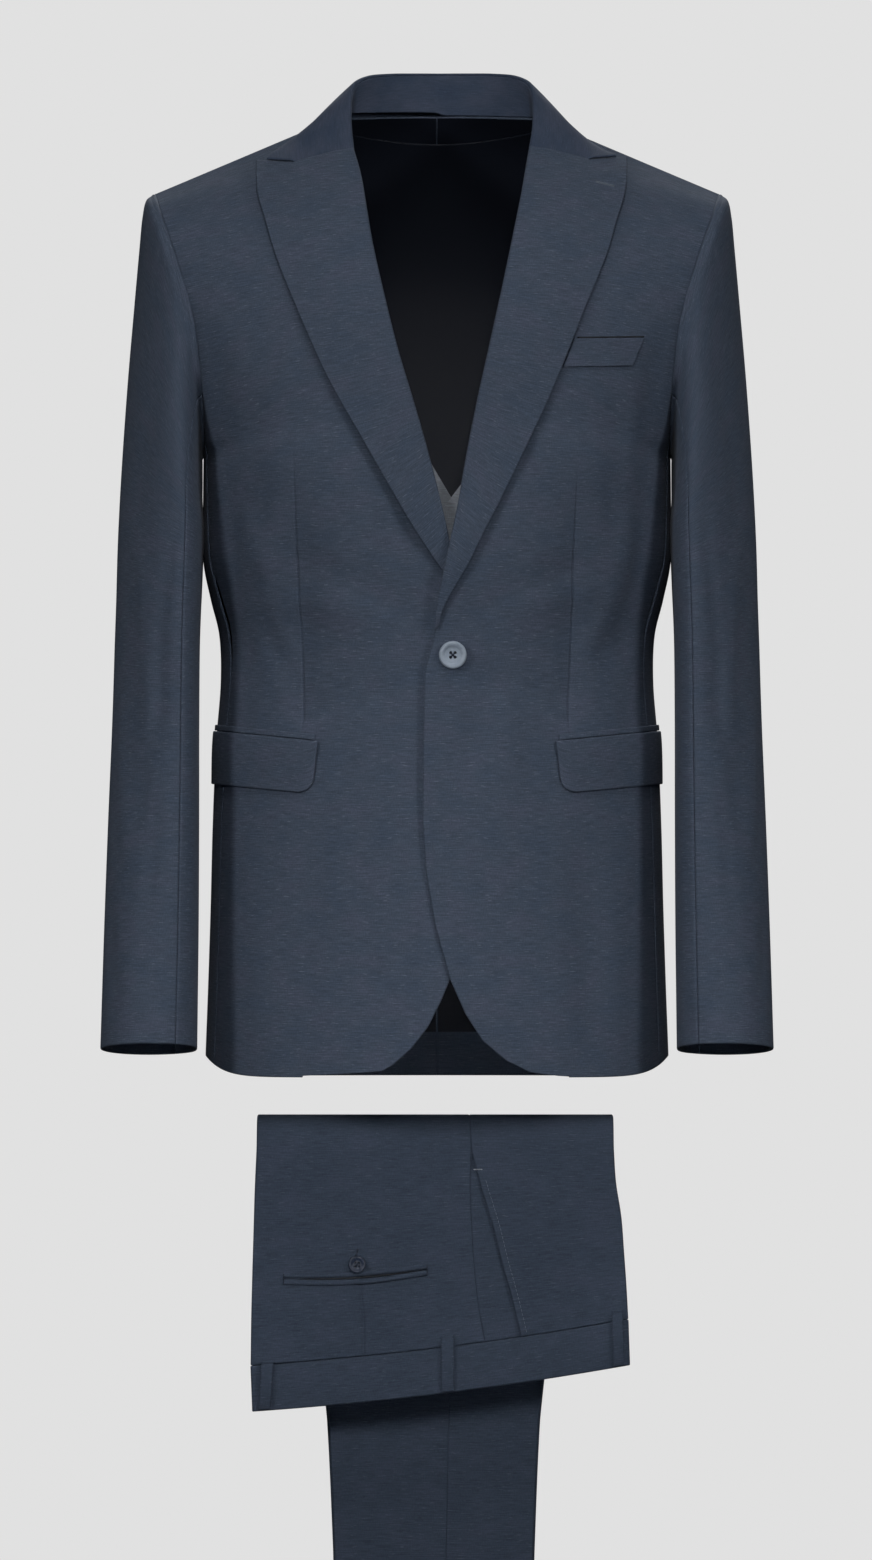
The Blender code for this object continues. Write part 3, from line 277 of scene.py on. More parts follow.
def shell(name, place, rows, columns, wall, finish, inside=None, edge=1.2, facing=(0, 0, 0, 0),
          replaces=None, held="draped", rests_on=(), grain=0.0, warp_from=0.5, sewn_to=None):
    """A closed sheet. place(row, column, lift) gives points; facing says how wide the outer
    cloth is turned in at the first and last rows and the first and last columns, in mm;
    the weft follows the rows, and warp_from is the column that the warp runs along. A strip
    that is sewn_to a larger piece goes with that piece."""
    row = np.asarray(rows, float)[:, None]
    column = np.asarray(columns, float)[None, :]
    flat = np.zeros((row.shape[0], column.shape[1]))
    middle = place(row, column, flat)
    down, across = running(middle, 0), running(middle, 1)
    to_edges = np.stack((down, down[-1:] - down, across, across[:, -1:] - across))
    near = np.clip(to_edges.min(0) / (edge * MM), 0.0, 1.0)
    drop = wall * MM / 2 * (1.0 - np.sqrt(1.0 - (1.0 - near) ** 2))
    outer = place(row, column, flat - drop)
    inner = place(row, column, flat - wall * MM + drop)
    count, width = flat.shape
    top = np.arange(count * width).reshape(count, width)
    under = top.copy()
    under[1:-1, 1:-1] = count * width + np.arange((count - 2) * (width - 2)).reshape(
        count - 2, width - 2)
    points = np.concatenate((outer.reshape(-1, 3), inner[1:-1, 1:-1].reshape(-1, 3)))
    quads = [np.stack((g[:-1, :-1], g[:-1, 1:], g[1:, 1:], g[1:, :-1]), -1).reshape(-1, 4)
             for g in (top, under)]
    facing_out = (cell_normals(outer) * (outer - inner)[:-1, :-1]).sum() > 0
    turned = 1 if facing_out else 0
    quads[turned] = quads[turned][:, ::-1]
    cell = [(t[:-1, :-1] + t[1:, 1:]).reshape(-1) / 2 / MM for t in to_edges]
    turned_in = np.any([c < f for c, f in zip(cell, facing)], axis=0)
    slots = np.concatenate((np.zeros(len(quads[0]), int),
                            np.where(turned_in, 0, 1 if inside else 0)))
    mesh = bpy.data.meshes.new(name)
    faces = np.concatenate(quads)
    mesh.from_pydata(points, [], faces)
    mesh.materials.append(finish)
    if inside:
        mesh.materials.append(inside)
    mesh.polygons.foreach_set("material_index", slots.astype(np.int32))
    mesh.polygons.foreach_set("use_smooth", np.ones(len(faces), bool))
    u = across - across[:, -1:] * warp_from
    v = down[:, down.shape[1] // 2][:, None] + 0.0 * across
    uv = np.stack((u * math.cos(grain) - v * math.sin(grain),
                   u * math.sin(grain) + v * math.cos(grain)), -1)
    uv = np.concatenate((uv.reshape(-1, 2), uv[1:-1, 1:-1].reshape(-1, 2)))
    layer = mesh.uv_layers.new(name="cut")
    layer.data.foreach_set("uv", uv[faces.reshape(-1)].astype(np.float32).reshape(-1))
    thing = carried(name + "_cloth", mesh)
    if replaces is not False:
        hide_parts(replaces or name)
    wide, long = float(across[:, -1].max()), float(down[-1].max())
    area = min(0.5 * length(cell_normals(middle)).sum(), 0.999 * wide * long)
    if sewn_to:
        sewn_on.setdefault(sewn_to, []).append(thing)
    else:
        cuts.append((thing, (wide, long), float(area), held, list(rests_on)))


# %% [markdown]
# ## Worsted wool
# Worsted is woven from long combed wool. Its face is matt, with the light catching single
# weft threads that are a little thicker in places, called slubs: short pale and dark dashes
# along the weft, on a ground that drifts between slate blue, grey and a trace of purple.
# An image of cloth would repeat; noise stretched along the weft never does. The real weave
# has about 30 threads in a centimetre, finer than a render of the whole suit can show, so
# the threads are drawn about three times as coarse, and the slubs at their real length.

# %% Colours, nodes and the worsted finishes
def srgb(code):
    """A hex colour as the linear values that a shader takes."""
    values = [int(code[i:i + 2], 16) / 255 for i in (1, 3, 5)]
    return (*[v / 12.92 if v <= 0.04045 else ((v + 0.055) / 1.055) ** 2.4 for v in values], 1.0)


def add(tree, kind, inputs, **settings):
    """A node with its settings, and values or links for its sockets by name or place."""
    made = tree.nodes.new("ShaderNode" + kind)
    for key, value in settings.items():
        setattr(made, key, value)
    for key, value in inputs.items():
        if isinstance(value, bpy.types.NodeSocket):
            tree.links.new(value, made.inputs[key])
        else:
            made.inputs[key].default_value = value
    return made


def finish_named(name, roughness, specular=0.5, sheen=0.0, metallic=0.0):
    """A new material with its Principled shader ready."""
    made = bpy.data.materials.new(name)
    made.use_nodes = True
    shader = made.node_tree.nodes["Principled BSDF"]
    shader.inputs["Roughness"].default_value = roughness
    shader.inputs["Metallic"].default_value = metallic
    shader.inputs["Specular IOR Level"].default_value = specular
    shader.inputs["Sheen Weight"].default_value = sheen
    return made, made.node_tree, shader


def mixed(tree, factor, low, high, **settings):
    """The colour between low and high at a factor."""
    return add(tree, "Mix", {"Factor": factor, 6: low, 7: high}, data_type="RGBA",
               **settings).outputs[2]


def dress(tree, shader, colour, height=None, strength=0.0, distance=0.0):
    """Lead a colour into the shader and, for a relief, a bump that is distance mm deep."""
    tree.links.new(colour, shader.inputs["Base Color"])
    if height is not None:
        bump = add(tree, "Bump", {"Height": height, "Strength": strength,
                                  "Distance": distance * MM})
        tree.links.new(bump.outputs[0], shader.inputs["Normal"])


THREAD = 0.85      # mm between the drawn weft threads: the real ones are 0.35 mm apart
SLUB = 14.0        # mm, how long a thick place in the weft is
FLECK = 0.55       # a pale fleck's length as a share of a slub
WARP = 0.2         # a warp thread's visible stretch as a share of a slub
WEFT_SHADE, WARP_SHADE, FLECK_SHADE = 0.22, 0.1, 0.38      # how far each moves the tone


def worsted(name, ground, cool, warm, slub, contrast=1.0, sheen=0.04):
    """Worsted wool: three ground tones that drift, and paler slubs along the weft."""
    made, tree, shader = finish_named(name, 0.86, specular=0.12, sheen=sheen)
    shader.inputs["Sheen Roughness"].default_value = 0.5
    flat = add(tree, "UVMap", {}, uv_map="cut").outputs[0]
    scaled = lambda x, y: add(tree, "Mapping", {0: flat, 3: (1 / (x * MM), 1 / (y * MM), 1)})
    noise = lambda place, detail, rough: add(
        tree, "TexNoise", {"Vector": place.outputs[0], "Scale": 1.0, "Detail": detail,
                           "Roughness": rough}, noise_dimensions="2D").outputs[0]
    drift = noise(scaled(34, 22), 2.0, 0.6)
    tone = add(tree, "ValToRGB", {0: drift})
    tone.color_ramp.elements[0].position, tone.color_ramp.elements[1].position = 0.32, 0.68
    tone.color_ramp.elements[0].color = srgb(cool)
    tone.color_ramp.elements[1].color = srgb(warm)
    middle = tone.color_ramp.elements.new(0.5)
    middle.color = srgb(ground)
    streak = noise(scaled(SLUB, THREAD), 2.5, 0.6)
    fleck = noise(scaled(SLUB * FLECK, THREAD), 1.0, 0.5)
    warp = noise(scaled(THREAD, SLUB * WARP), 1.0, 0.5)
    shade, cross = (
        add(tree, "MapRange", {"Value": value, 1: 0.25, 2: 0.75,
                               3: 1.0 - swing * contrast, 4: 1.0 + swing * contrast})
        for value, swing in ((streak, WEFT_SHADE), (warp, WARP_SHADE)))
    both = add(tree, "Math", {0: shade.outputs[0], 1: cross.outputs[0]}, operation="MULTIPLY")
    cloth = mixed(tree, 1.0, tone.outputs[0], both.outputs[0], blend_type="MULTIPLY")
    spark = add(tree, "MapRange", {"Value": fleck, 1: 0.68, 2: 0.82, 3: 0.0,
                                   4: FLECK_SHADE * contrast})
    dress(tree, shader, mixed(tree, spark.outputs[0], cloth, srgb(slub)),
          both.outputs[0], 0.35, 0.25)
    return made


JACKET_WORSTED = worsted("slate_worsted", "#4a5464", "#475263", "#4d5566", "#7f8a99")
# The trousers are the jacket's cloth, drawn a shade darker: painted shade for the light falling
# off lower down.
TROUSER_SHADED_WORSTED = worsted("slate_trouser_worsted_painted_shade", "#414b5b", "#3f4959", "#444d5e", "#717c8a",
                          contrast=0.9)
# The collar is the jacket's own cloth, drawn darker and with less contrast: painted shade for the
# collar, which lies in shadow at the top.
COLLAR_SHADED_WORSTED = worsted("collar_worsted_painted_shade", "#414b5d", "#3c475a", "#474f61", "#66708a",
                         contrast=0.6)
GREY_WORSTED = worsted("grey_waistcoat_worsted", "#7b8088", "#747981", "#83878f", "#aeb2b8",
                       contrast=0.8)
print("worsted finishes:", [m.name for m in bpy.data.materials if "worsted" in m.name][:4])

# %% [markdown]
# ## Lining, thread and resin
# The jacket is lined with a satin of long floating threads, so it is smooth and has soft
# gloss in one direction; here it is dark, and a fine twill line runs through it. Buttons are
# cast polyester resin, turned and tumbled: a satin plastic with a faint cloud in its colour.
# Sewing thread is a twisted polyester, slightly glossy, drawn one shade off the cloth.

# %% The other finishes
def satin(name, colour, sheen_colour):
    made, tree, shader = finish_named(name, 0.48, specular=0.2)
    flat = add(tree, "UVMap", {}, uv_map="cut").outputs[0]
    place = add(tree, "Mapping", {0: flat, 2: (0, 0, 0.7), 3: (900, 900, 1)})
    lines = add(tree, "TexWave", {0: place.outputs[0], "Scale": 0.5, "Distortion": 1.2,
                                  "Detail": 1.0})
    line = lines.outputs["Fac"]
    dress(tree, shader, mixed(tree, line, srgb(colour), srgb(sheen_colour)), line, 0.2, 0.1)
    return made


def resin(name, low, high, gloss):
    made, tree, shader = finish_named(name, gloss, specular=0.5)
    place = add(tree, "TexCoord", {}).outputs["Object"]
    cloud = add(tree, "TexNoise", {"Vector": place, "Scale": 210.0, "Detail": 3.0,
                                   "Distortion": 1.5}).outputs[0]
    dress(tree, shader, mixed(tree, cloud, srgb(low), srgb(high)), cloud, 0.08, 0.2)
    return made


def thread(name, low, high):
    made, tree, shader = finish_named(name, 0.55, specular=0.4)
    place = add(tree, "TexCoord", {}).outputs["Object"]
    twist = add(tree, "TexNoise", {"Vector": place, "Scale": 2600.0, "Detail": 1.0})
    dress(tree, shader, mixed(tree, twist.outputs[0], srgb(low), srgb(high)))
    return made


LINING = satin("dark_satin_lining", "#14171f", "#232835")
PALE_RESIN = resin("pale_blue_resin", "#8592a3", "#a3afbd", 0.34)
DARK_RESIN = resin("dark_blue_resin", "#1d2638", "#334058", 0.34)
# Painted shade: a near-black finish for the floors of the button holes and for the strips in the
# pocket openings, where there is only shade.
HOLE_PAINTED_SHADE = resin("painted_shade_in_holes", "#10141c", "#1b212c", 0.6)
NAVY_THREAD = thread("navy_thread", "#202737", "#343d50")
SLATE_THREAD = thread("slate_thread", "#59636f", "#7b8593")
PALE_THREAD = thread("pale_bar_tack_thread", "#8d949d", "#b9bfc6")

# %% [markdown]
# ## Creases
# Pressed worsted holds no sharp wrinkles, only long soft ones: a drag from the button, a
# hollow beside the armhole, ripples in the skirt and at the elbow. A physics simulation would
# place them by chance. Here each is a row of a table: its two ends on the panel, how far it
# bows, its width and its depth, which is below zero for a trough. They differ in length,
# depth and spacing, as hand-pressed cloth does.

# %% Creases as tables
def creases(pattern, a, b):
    """The lift, in metres, of a table's creases at the place (a, b), both in mm."""
    total = np.zeros(np.broadcast(a, b).shape)
    for a0, b0, a1, b1, bow, width, depth in zip(*pattern.values()):
        span = math.hypot(a1 - a0, b1 - b0)
        ta, tb = (a1 - a0) / span, (b1 - b0) / span
        along = ((a - a0) * ta + (b - b0) * tb) / span
        off = (b - b0) * ta - (a - a0) * tb - 4 * bow * along * (1 - along)
        fade = ease(along, -0.12, 0.3) * (1 - ease(along, 0.7, 1.12))
        total += depth * MM * fade * np.exp(-(off / width) ** 2)
    return total


CREASE = "from_out from_z to_out to_z bow width depth"
FRONT_CREASES = {
    1: table(CREASE,
             (20, -402, 128, -350, 6, 14, -1.6), (30, -398, 150, -372, 8, 12, 1.1),
             (22, -440, 140, -455, -5, 13, -1.2), (34, -420, 24, -520, 5, 13, -3.4),
             (52, -430, 60, -640, -6, 20, 1.6), (88, -560, 96, -750, -5, 17, 1.4),
             (112, -545, 122, -752, 4, 15, -1.9), (150, -560, 146, -745, -4, 14, 1.4),
             (176, -170, 164, -400, -5, 11, -5.0), (142, -200, 136, -345, 5, 14, -2.8),
             (160, -205, 154, -350, 4, 11, 1.6), (120, -120, 190, -96, 3, 17, 0.9),
             (72, -250, 70, -420, 4, 24, 3.2), (60, -120, 96, -260, 4, 20, 0.8),
             (66, -248, 92, -330, -3, 9, -2.2), (166, -330, 128, -440, 6, 11, -2.6),
             (150, -330, 118, -420, 6, 9, 1.9), (104, -300, 104, -480, 0, 20, -1.6),
             (14, -425, 4, -590, -4, 10, 1.0)),
    -1: table(CREASE,
              (14, -402, 122, -342, 7, 13, -1.5), (24, -402, 146, -380, 7, 12, 1.1),
              (14, -445, 132, -462, -6, 13, -1.3), (20, -360, 14, -600, -5, 12, -2.6),
              (40, -500, 48, -680, -6, 18, 1.5), (78, -575, 84, -752, 6, 18, 1.3),
              (98, -540, 106, -750, -5, 14, -1.7), (142, -556, 138, -748, 5, 15, 1.5),
              (175, -176, 165, -392, -4, 12, -4.6), (146, -196, 138, -340, 6, 15, -3.1),
              (163, -200, 156, -336, 5, 12, 1.5), (116, -124, 186, -100, 3, 18, 0.9),
              (74, -255, 66, -430, 5, 25, 3.4), (50, -140, 92, -285, 5, 19, 0.8),
              (36, -310, 20, -350, -2, 8, -2.0), (160, -320, 150, -448, 7, 12, -2.8),
              (140, -325, 126, -415, 5, 9, 2.0), (106, -310, 102, -470, 0, 19, -1.5),
              (146, -345, 112, -455, 4, 8, -1.6)),
}
BACK_CREASES = {
    1: table(CREASE,
             (24, -418, 140, -392, 6, 14, -1.5), (34, -432, 150, -436, -6, 13, 1.1),
             (60, -560, 70, -752, 5, 18, 1.4), (112, -520, 104, -748, -6, 16, -1.6),
             (150, -480, 148, -740, 5, 15, 1.2), (176, -150, 158, -330, -8, 14, -2.2),
             (150, -160, 138, -360, 6, 16, 1.3), (20, -60, 110, -40, 5, 15, -1.1)),
    -1: table(CREASE,
              (20, -410, 132, -384, 6, 15, -1.4), (30, -428, 146, -444, -7, 13, 1.2),
              (48, -570, 56, -754, -5, 17, 1.3), (96, -530, 92, -750, 6, 16, -1.5),
              (144, -500, 140, -742, -4, 15, 1.3), (178, -158, 160, -344, -7, 13, -2.1),
              (148, -170, 134, -345, 6, 17, 1.2), (26, -66, 104, -44, 5, 16, -1.0)),
}

# %% [markdown]
# ## Fronts, with their darts
# The left front lies over the right one and is rounded away below the button. A front dart
# takes in cloth from the chest to the pocket: it shows as a fine line in a shallow valley. A
# fine line needs a fine mesh, so the grid is bent until one of its columns runs exactly down
# the dart, with more columns close on both sides of it. The wider inside edge is turned-in
# worsted, and the rest of the inside is lining.

# %% Front edges, darts and where the fronts lie
LEFT_EDGE = table(
    "height out",
    (-754.9, 97.0), (-751.7, 73.0), (-742.6, 54.5), (-726.8, 35.6), (-705.5, 22.0),
    (-678.6, 10.3), (-636.0, -1.6), (-593.0, -8.7), (-556.0, -11.1), (-481.0, -10.6),
    (-436.0, -9.7), (-408.4, -2.4), (-383.2, 0.9), (-359.5, 5.8), (-335.8, 10.6),
    (-304.2, 17.4), (-264.7, 24.5), (-221.2, 33.3), (-181.7, 42.1), (-134.3, 52.5),
    (-94.8, 60.8), (-61.6, 67.5), (-41.0, 71.1), (-22.0, 74.3), (4.0, 80.0),
)
RIGHT_EDGE = table(
    "height out",
    (-753.6, 84.0), (-750.9, 43.1), (-745.5, 34.0), (-733.5, 20.5), (-716.1, 7.1),
    (-694.8, -3.6), (-678.6, -10.3), (-636.0, -20.0), (-593.0, -29.0), (-556.0, -31.0),
    (-436.0, -31.0), (-408.0, -27.0), (-383.0, -20.0), (-359.5, -14.0), (-335.8, -9.5),
    (-304.2, -2.4), (-264.7, 7.9), (-221.2, 20.5), (-181.7, 32.4), (-134.3, 44.2),
    (-94.8, 52.9), (-63.2, 58.1), (-43.5, 61.6), (-23.7, 67.2), (4.0, 72.0),
)
DARTS = {1: table("height out", (-478.7, 104.7), (-432.9, 106.7), (-347.6, 108.9),
                  (-262.0, 111.4)),
         -1: table("height out", (-477.0, 106.7), (-413.0, 107.8), (-347.6, 111.7),
                   (-246.0, 113.8))}
DART_COLUMN = 0.52        # where the dart lies among the columns of the front
DART_FOOT = (-477.5, -476.0)          # heights, mm, between which a dart fades out below
FRONT_WIDTH = 185.0       # mm, across a front at the chest
OVERLAP_LIFT = 3.2        # mm, the left front off the right one
SEAM_GAP = -0.1           # two panels overlap by this much at a seam, mm, as sewn cloth does


def edge_out(edge, height):
    low = edge["height"][0]
    return np.where(height < low, edge["out"][0] + (low - height) * 20.0,
                    np.interp(height, edge["height"], edge["out"]))


def edge_turn(edge, row):
    def short_of_edge(turn):
        point = body_point(1, row, turn) / MM
        return point[..., 0] < edge_out(edge, point[..., 2])
    row = np.asarray(row, float)
    return search(np.full(row.shape, -20.0), np.full(row.shape, 80.0), short_of_edge)


def overlap_lift(out, height):
    """How far the left front stands off the right one, in metres."""
    over = OVERLAP_LIFT * (1 - ease(out, 38.0, 85.0)) * (1 - ease(height, -330.0, -250.0))
    over = over * ease(height, -760.0, -700.0)
    bump = 4.8 * np.exp(-((out - 9.0) / 26.0) ** 2 - ((height + 352.0) / 42.0) ** 2)
    return (over + bump) * MM


def front_lift(side, row, turn):
    """The lift of a front's outer face off the smooth body, without its creases."""
    point = body_point(1, row, turn) / MM
    return overlap_lift(point[..., 0], point[..., 2]) if side > 0 else 0.0 * point[..., 0]


def front_relief(side, row, turn):
    """A front's lift with its creases: what lies on the front uses it too."""
    point = body_point(1, row, turn) / MM
    relief = creases(FRONT_CREASES[side], point[..., 0], point[..., 2])
    return front_lift(side, row, turn) + relief * ease(row, 0.0, 0.6) ** 0.5


def seam_turn(row, front=True):
    """The edge of a panel at its side seam, half a gap short of the seam."""
    turn = side_seam_turn(row, front)
    size = length(body_point(1, row, turn + 0.5) - body_point(1, row, turn - 0.5))
    gap = SEAM_GAP * MM / np.maximum(size, 1e-6)
    return np.where(row < SIDE_TOP, turn - gap if front else turn + gap, turn)


def dart_share(side, row, first, last):
    """Where the dart crosses a row, as a share of the row."""
    dart = DARTS[side]
    middle = body_point(1, row, 40.0)[..., 2] / MM
    turn = turn_at(row, np.interp(middle, dart["height"], dart["out"]))
    return (turn - first) / (last - first)


def front_place(side, row, column, lift):
    first = edge_turn(LEFT_EDGE if side > 0 else RIGHT_EDGE, row)
    last = seam_turn(row)
    dart = dart_share(side, row, first, last)
    share = np.where(column < DART_COLUMN, dart * column / DART_COLUMN,
                     dart + (1 - dart) * (column - DART_COLUMN) / (1 - DART_COLUMN))
    turn = first + (last - first) * share
    point = body_point(1, row, turn) / MM
    height, dart_top = point[..., 2], DARTS[side]["height"][2:]
    across = (share - dart) * FRONT_WIDTH
    fade = ease(height, *DART_FOOT) * (1 - ease(height, *dart_top))
    groove = -1.7 * np.exp(-(across / 0.7) ** 2) - 2.0 * np.exp(-(across / 11.0) ** 2)
    return body_lifted(side, row, turn, lift + front_relief(side, row, turn) + groove * fade * MM)


# rows evenly down the cloth, and closer at the hem where the front edge turns outwards
BODY_LINES = np.concatenate((steps(0.0, 0.5, 15)[:-1], steps(0.5, 4.0, 74)[:-1],
                             steps(4.0, 10.0, 64)[:-1], steps(10.0, SHOULDER - 0.004, 80)))
HEM_TO_SHOULDER = with_rims(BODY_LINES / BODY_LINES[-1], 800.0) * BODY_LINES[-1]
DART_NEAR = np.array([-9, -6, -4, -2.6, -1.7, -1.0, -0.5, 0,
                      0.5, 1.0, 1.7, 2.6, 4, 6, 9]) / FRONT_WIDTH
front_columns = np.sort(np.concatenate((with_rims(steps(0, 1, 48), 190.0),
                                        DART_COLUMN + DART_NEAR)))
for side, label in SIDES:
    shell("front_" + label, partial(front_place, side), HEM_TO_SHOULDER, front_columns, 2.0,
          JACKET_WORSTED, LINING, facing=(35, 5, 85, 5),
          rests_on=("waistcoat_front_" + label,), warp_from=1.0)
print("front panel, mm:", [round(x * 1000) for x in cuts[0][1]])

# %% [markdown]
# ## Backs and side bodies
# Two backs meet at a centre back seam, and a narrow side body joins each back to its front.
# The hidden side of the suit gets creases like those in front: drags at the waist, ripples
# in the skirt and a hollow behind each armhole.

# %% Backs and sides
def neck_height(out):
    return (5.0 - 2.0 * (out / 78.0) ** 2) * MM


def neck_turn(row):
    def under_seam(turn):
        point = body_point(1, row, turn)
        return point[..., 2] < neck_height(point[..., 0] / MM)
    row = np.asarray(row, float)
    return search(np.full(row.shape, 120.0), np.full(row.shape, 180.0), under_seam)


def back_relief(side, row, turn):
    point = body_point(1, row, turn) / MM
    relief = creases(BACK_CREASES[side], point[..., 0], point[..., 2])
    seam = -0.5 * np.exp(-(point[..., 0] / 5.0) ** 2) * MM
    return relief * ease(row, 0.0, 0.6) ** 0.5 + seam


def back_place(side, row, share, lift):
    first = np.maximum(seam_turn(row, front=False), 90.01)
    last = 180.0 - np.degrees(SEAM_GAP / read(BODY, "side_x", row))
    above = body_point(side, row, last)[..., 2] > neck_height(0.0)
    last = np.where(above, neck_turn(row), last)
    turn = first + (last - first) * share
    return body_lifted(side, row, turn, lift + back_relief(side, row, turn))


def side_place(side, row, share, lift):
    """The side body; its top line is the underarm."""
    first, last = seam_turn(row), seam_turn(row, front=False)
    turn = first + (last - first) * share
    plain = body_lifted(side, row, turn, lift)
    away = np.abs(2.0 * share - 1.0)
    top = body_point(side, UNDERARM + away * 0.996, 90.0) + 0.0 * plain
    top[..., 1] *= np.where(share > 0.5, -1.0, 1.0)
    top[..., 0] += side * lift
    blend = ease(row, UNDERARM, SIDE_TOP)[..., None]
    return np.where(row[..., None] < UNDERARM, plain, plain * (1 - blend) + top * blend)


back_columns = with_rims(steps(0, 1, 48), 190.0)
side_lines = HEM_TO_SHOULDER[HEM_TO_SHOULDER < 11.4] / 11.4
side_lines = with_rims(side_lines, 500.0) * SIDE_TOP
for side, label in SIDES:
    shell("back_" + label, partial(back_place, side), HEM_TO_SHOULDER, back_columns, 2.0,
          JACKET_WORSTED, LINING, facing=(35, 2, 1, 1), rests_on=("waistcoat_back",),
          warp_from=1.0)
    shell("side_" + label, partial(side_place, side), side_lines,
          with_rims(steps(0, 1, 18), 72.0), 2.0, JACKET_WORSTED, LINING,
          facing=(35, 5, 5, 5), rests_on=("waistcoat_back",))

# %% [markdown]
# ## Sleeves
# A tailored sleeve is two pieces, a wide top sleeve and a narrow under sleeve, bent a little
# forward. The top of the sleeve is eased into the armhole over a roll of wadding, so it rises
# in a low ridge just past the seam. Each sleeve is a loft through rings: the armhole first,
# then tilted ellipses down to the cuff. Long soft folds run where the arm would bend.

# %% Sleeve rings and folds
SLEEVE = table(
    "outer_x outer_z inner_x inner_z middle_y depth bow tilt lean boxy",
    (229.8, -62.4, 185.4, -268.0, 0.0, 71.5, 10.5, 0.0, 0.0, 0.0),
    (233.2, -77.0, 185.4, -272.0, 0.0, 73.5, 8.5, 0.0, 0.08, 0.0),
    (235.5, -101.0, 185.4, -279.0, 0.0, 75.5, 6.0, 0.0, 0.18, 0.0),
    (239.6, -147.0, 185.4, -288.0, 0.0, 77.0, 3.0, 0.0, 0.3, 0.2),
    (245.0, -210.0, 185.4, -302.0, 0.0, 77.5, 1.0, 0.0, 0.38, 0.5),
    (250.3, -285.0, 184.2, -325.0, -1.0, 76.5, 0.0, 0.0, 0.4, 0.8),
    (253.6, -350.0, 185.6, -365.0, -4.0, 74.0, 0.0, 0.0, 0.4, 1.1),
    (255.0, -413.0, 187.5, -413.0, -9.0, 70.5, 0.0, 0.0, 0.4, 1.3),
    (257.0, -479.0, 188.0, -479.0, -18.0, 66.5, 0.0, 0.5, 0.36, 1.4),
    (260.0, -553.0, 188.0, -553.0, -31.0, 61.5, 0.0, 1.0, 0.26, 1.2),
    (263.0, -638.0, 188.3, -638.0, -47.0, 55.5, 0.0, 2.5, 0.14, 0.9),
    (265.9, -734.0, 189.3, -734.0, -65.0, 49.5, 0.0, 5.0, 0.04, 0.5),
)
CUFF = len(SLEEVE["tilt"]) - 1
SLEEVE_SEAM = 122.0      # the turn of the two seams between the top and under sleeve
SEAM_TURN = 0.15         # how far short of the seam each piece ends, in degrees
TUCK = 1.6               # the sleeve's edge goes this far under the body, mm
# along the sleeve the second number is a turn: 90 is the front, 0 the outer line
SLEEVE_FOLDS = table(
    CREASE,
    (-300, 118, -470, 96, 6, 9, -1.6), (-330, 60, -520, 84, -8, 10, 1.3),
    (-430, 116, -560, 70, 7, 10, -1.7), (-455, 40, -600, 66, 6, 11, 1.2),
    (-520, 112, -650, 88, -5, 9, 1.2), (-180, 84, -330, 58, 6, 12, -1.2),
    (-600, 30, -715, 52, 5, 10, -1.0), (-410, -70, -560, -98, 6, 10, -1.7),
    (-330, -50, -480, -80, -7, 11, 1.3), (-520, -40, -680, -62, 5, 10, -1.3),
    (-220, -20, -400, 4, 6, 14, -0.9), (-600, -100, -700, -84, 4, 9, 1.1),
    (-560, 96, -700, 70, -6, 10, -1.1), (-160, -90, -300, -60, -6, 12, -1.3),
)


def sleeve_ring(side, ring, turn):
    """Points of one whole ring; ring -1 is the armhole."""
    if ring < 0:
        away = np.abs(turn)
        row = UNDERARM + (180.0 - away) / 180.0 * (SHOULDER - UNDERARM)
        point = body_point(side, row, 90.0) + 0.0 * turn[..., None]
        point[..., 1] *= np.where(turn < 0, -1.0, 1.0)
        point[..., 0] -= side * TUCK * MM
        return point
    angle = np.radians(turn)
    size = {name: values[ring] for name, values in SLEEVE.items()}
    # beside the body the ellipse is squarer, and its front is fuller there, as an arm hangs
    power = 2.0 + size["boxy"] * (np.cos(angle) < 0)
    corner = (abs(np.cos(angle)) ** power + abs(np.sin(angle)) ** power) ** (-1.0 / power)
    out, fullness = np.cos(angle) * corner, np.sin(angle) * corner
    x = (size["outer_x"] + size["inner_x"]) / 2 - size["bow"] * np.sin(angle) ** 2
    x = x + (size["outer_x"] - size["inner_x"]) / 2 * out
    z = (size["outer_z"] + size["inner_z"]) / 2 + size["tilt"] * np.sin(angle)
    z = z + (size["outer_z"] - size["inner_z"]) / 2 * out
    fullness = fullness * (1 - size["lean"] * np.cos(angle) * (fullness > 0))
    return np.stack((side * x, size["middle_y"] - size["depth"] * fullness, z), -1) * MM


def sleeve_point(side, ring, turn):
    """The sleeve's face at any ring, smooth between the rings."""
    ring, turn = np.broadcast_arrays(np.clip(ring, -1.0, CUFF), turn)
    known = np.stack([sleeve_ring(side, k, turn) for k in range(-1, CUFF + 1)])
    known = np.concatenate((2 * known[:1] - known[1:2], known, 2 * known[-1:] - known[-2:-1]))
    first = np.minimum(np.floor(ring), CUFF - 1).astype(int)
    t = (ring - first)[..., None]
    near = (np.take_along_axis(known, (first + 1 + k)[None, ..., None], 0)[0]
            for k in range(4))
    return spline(*near, t)


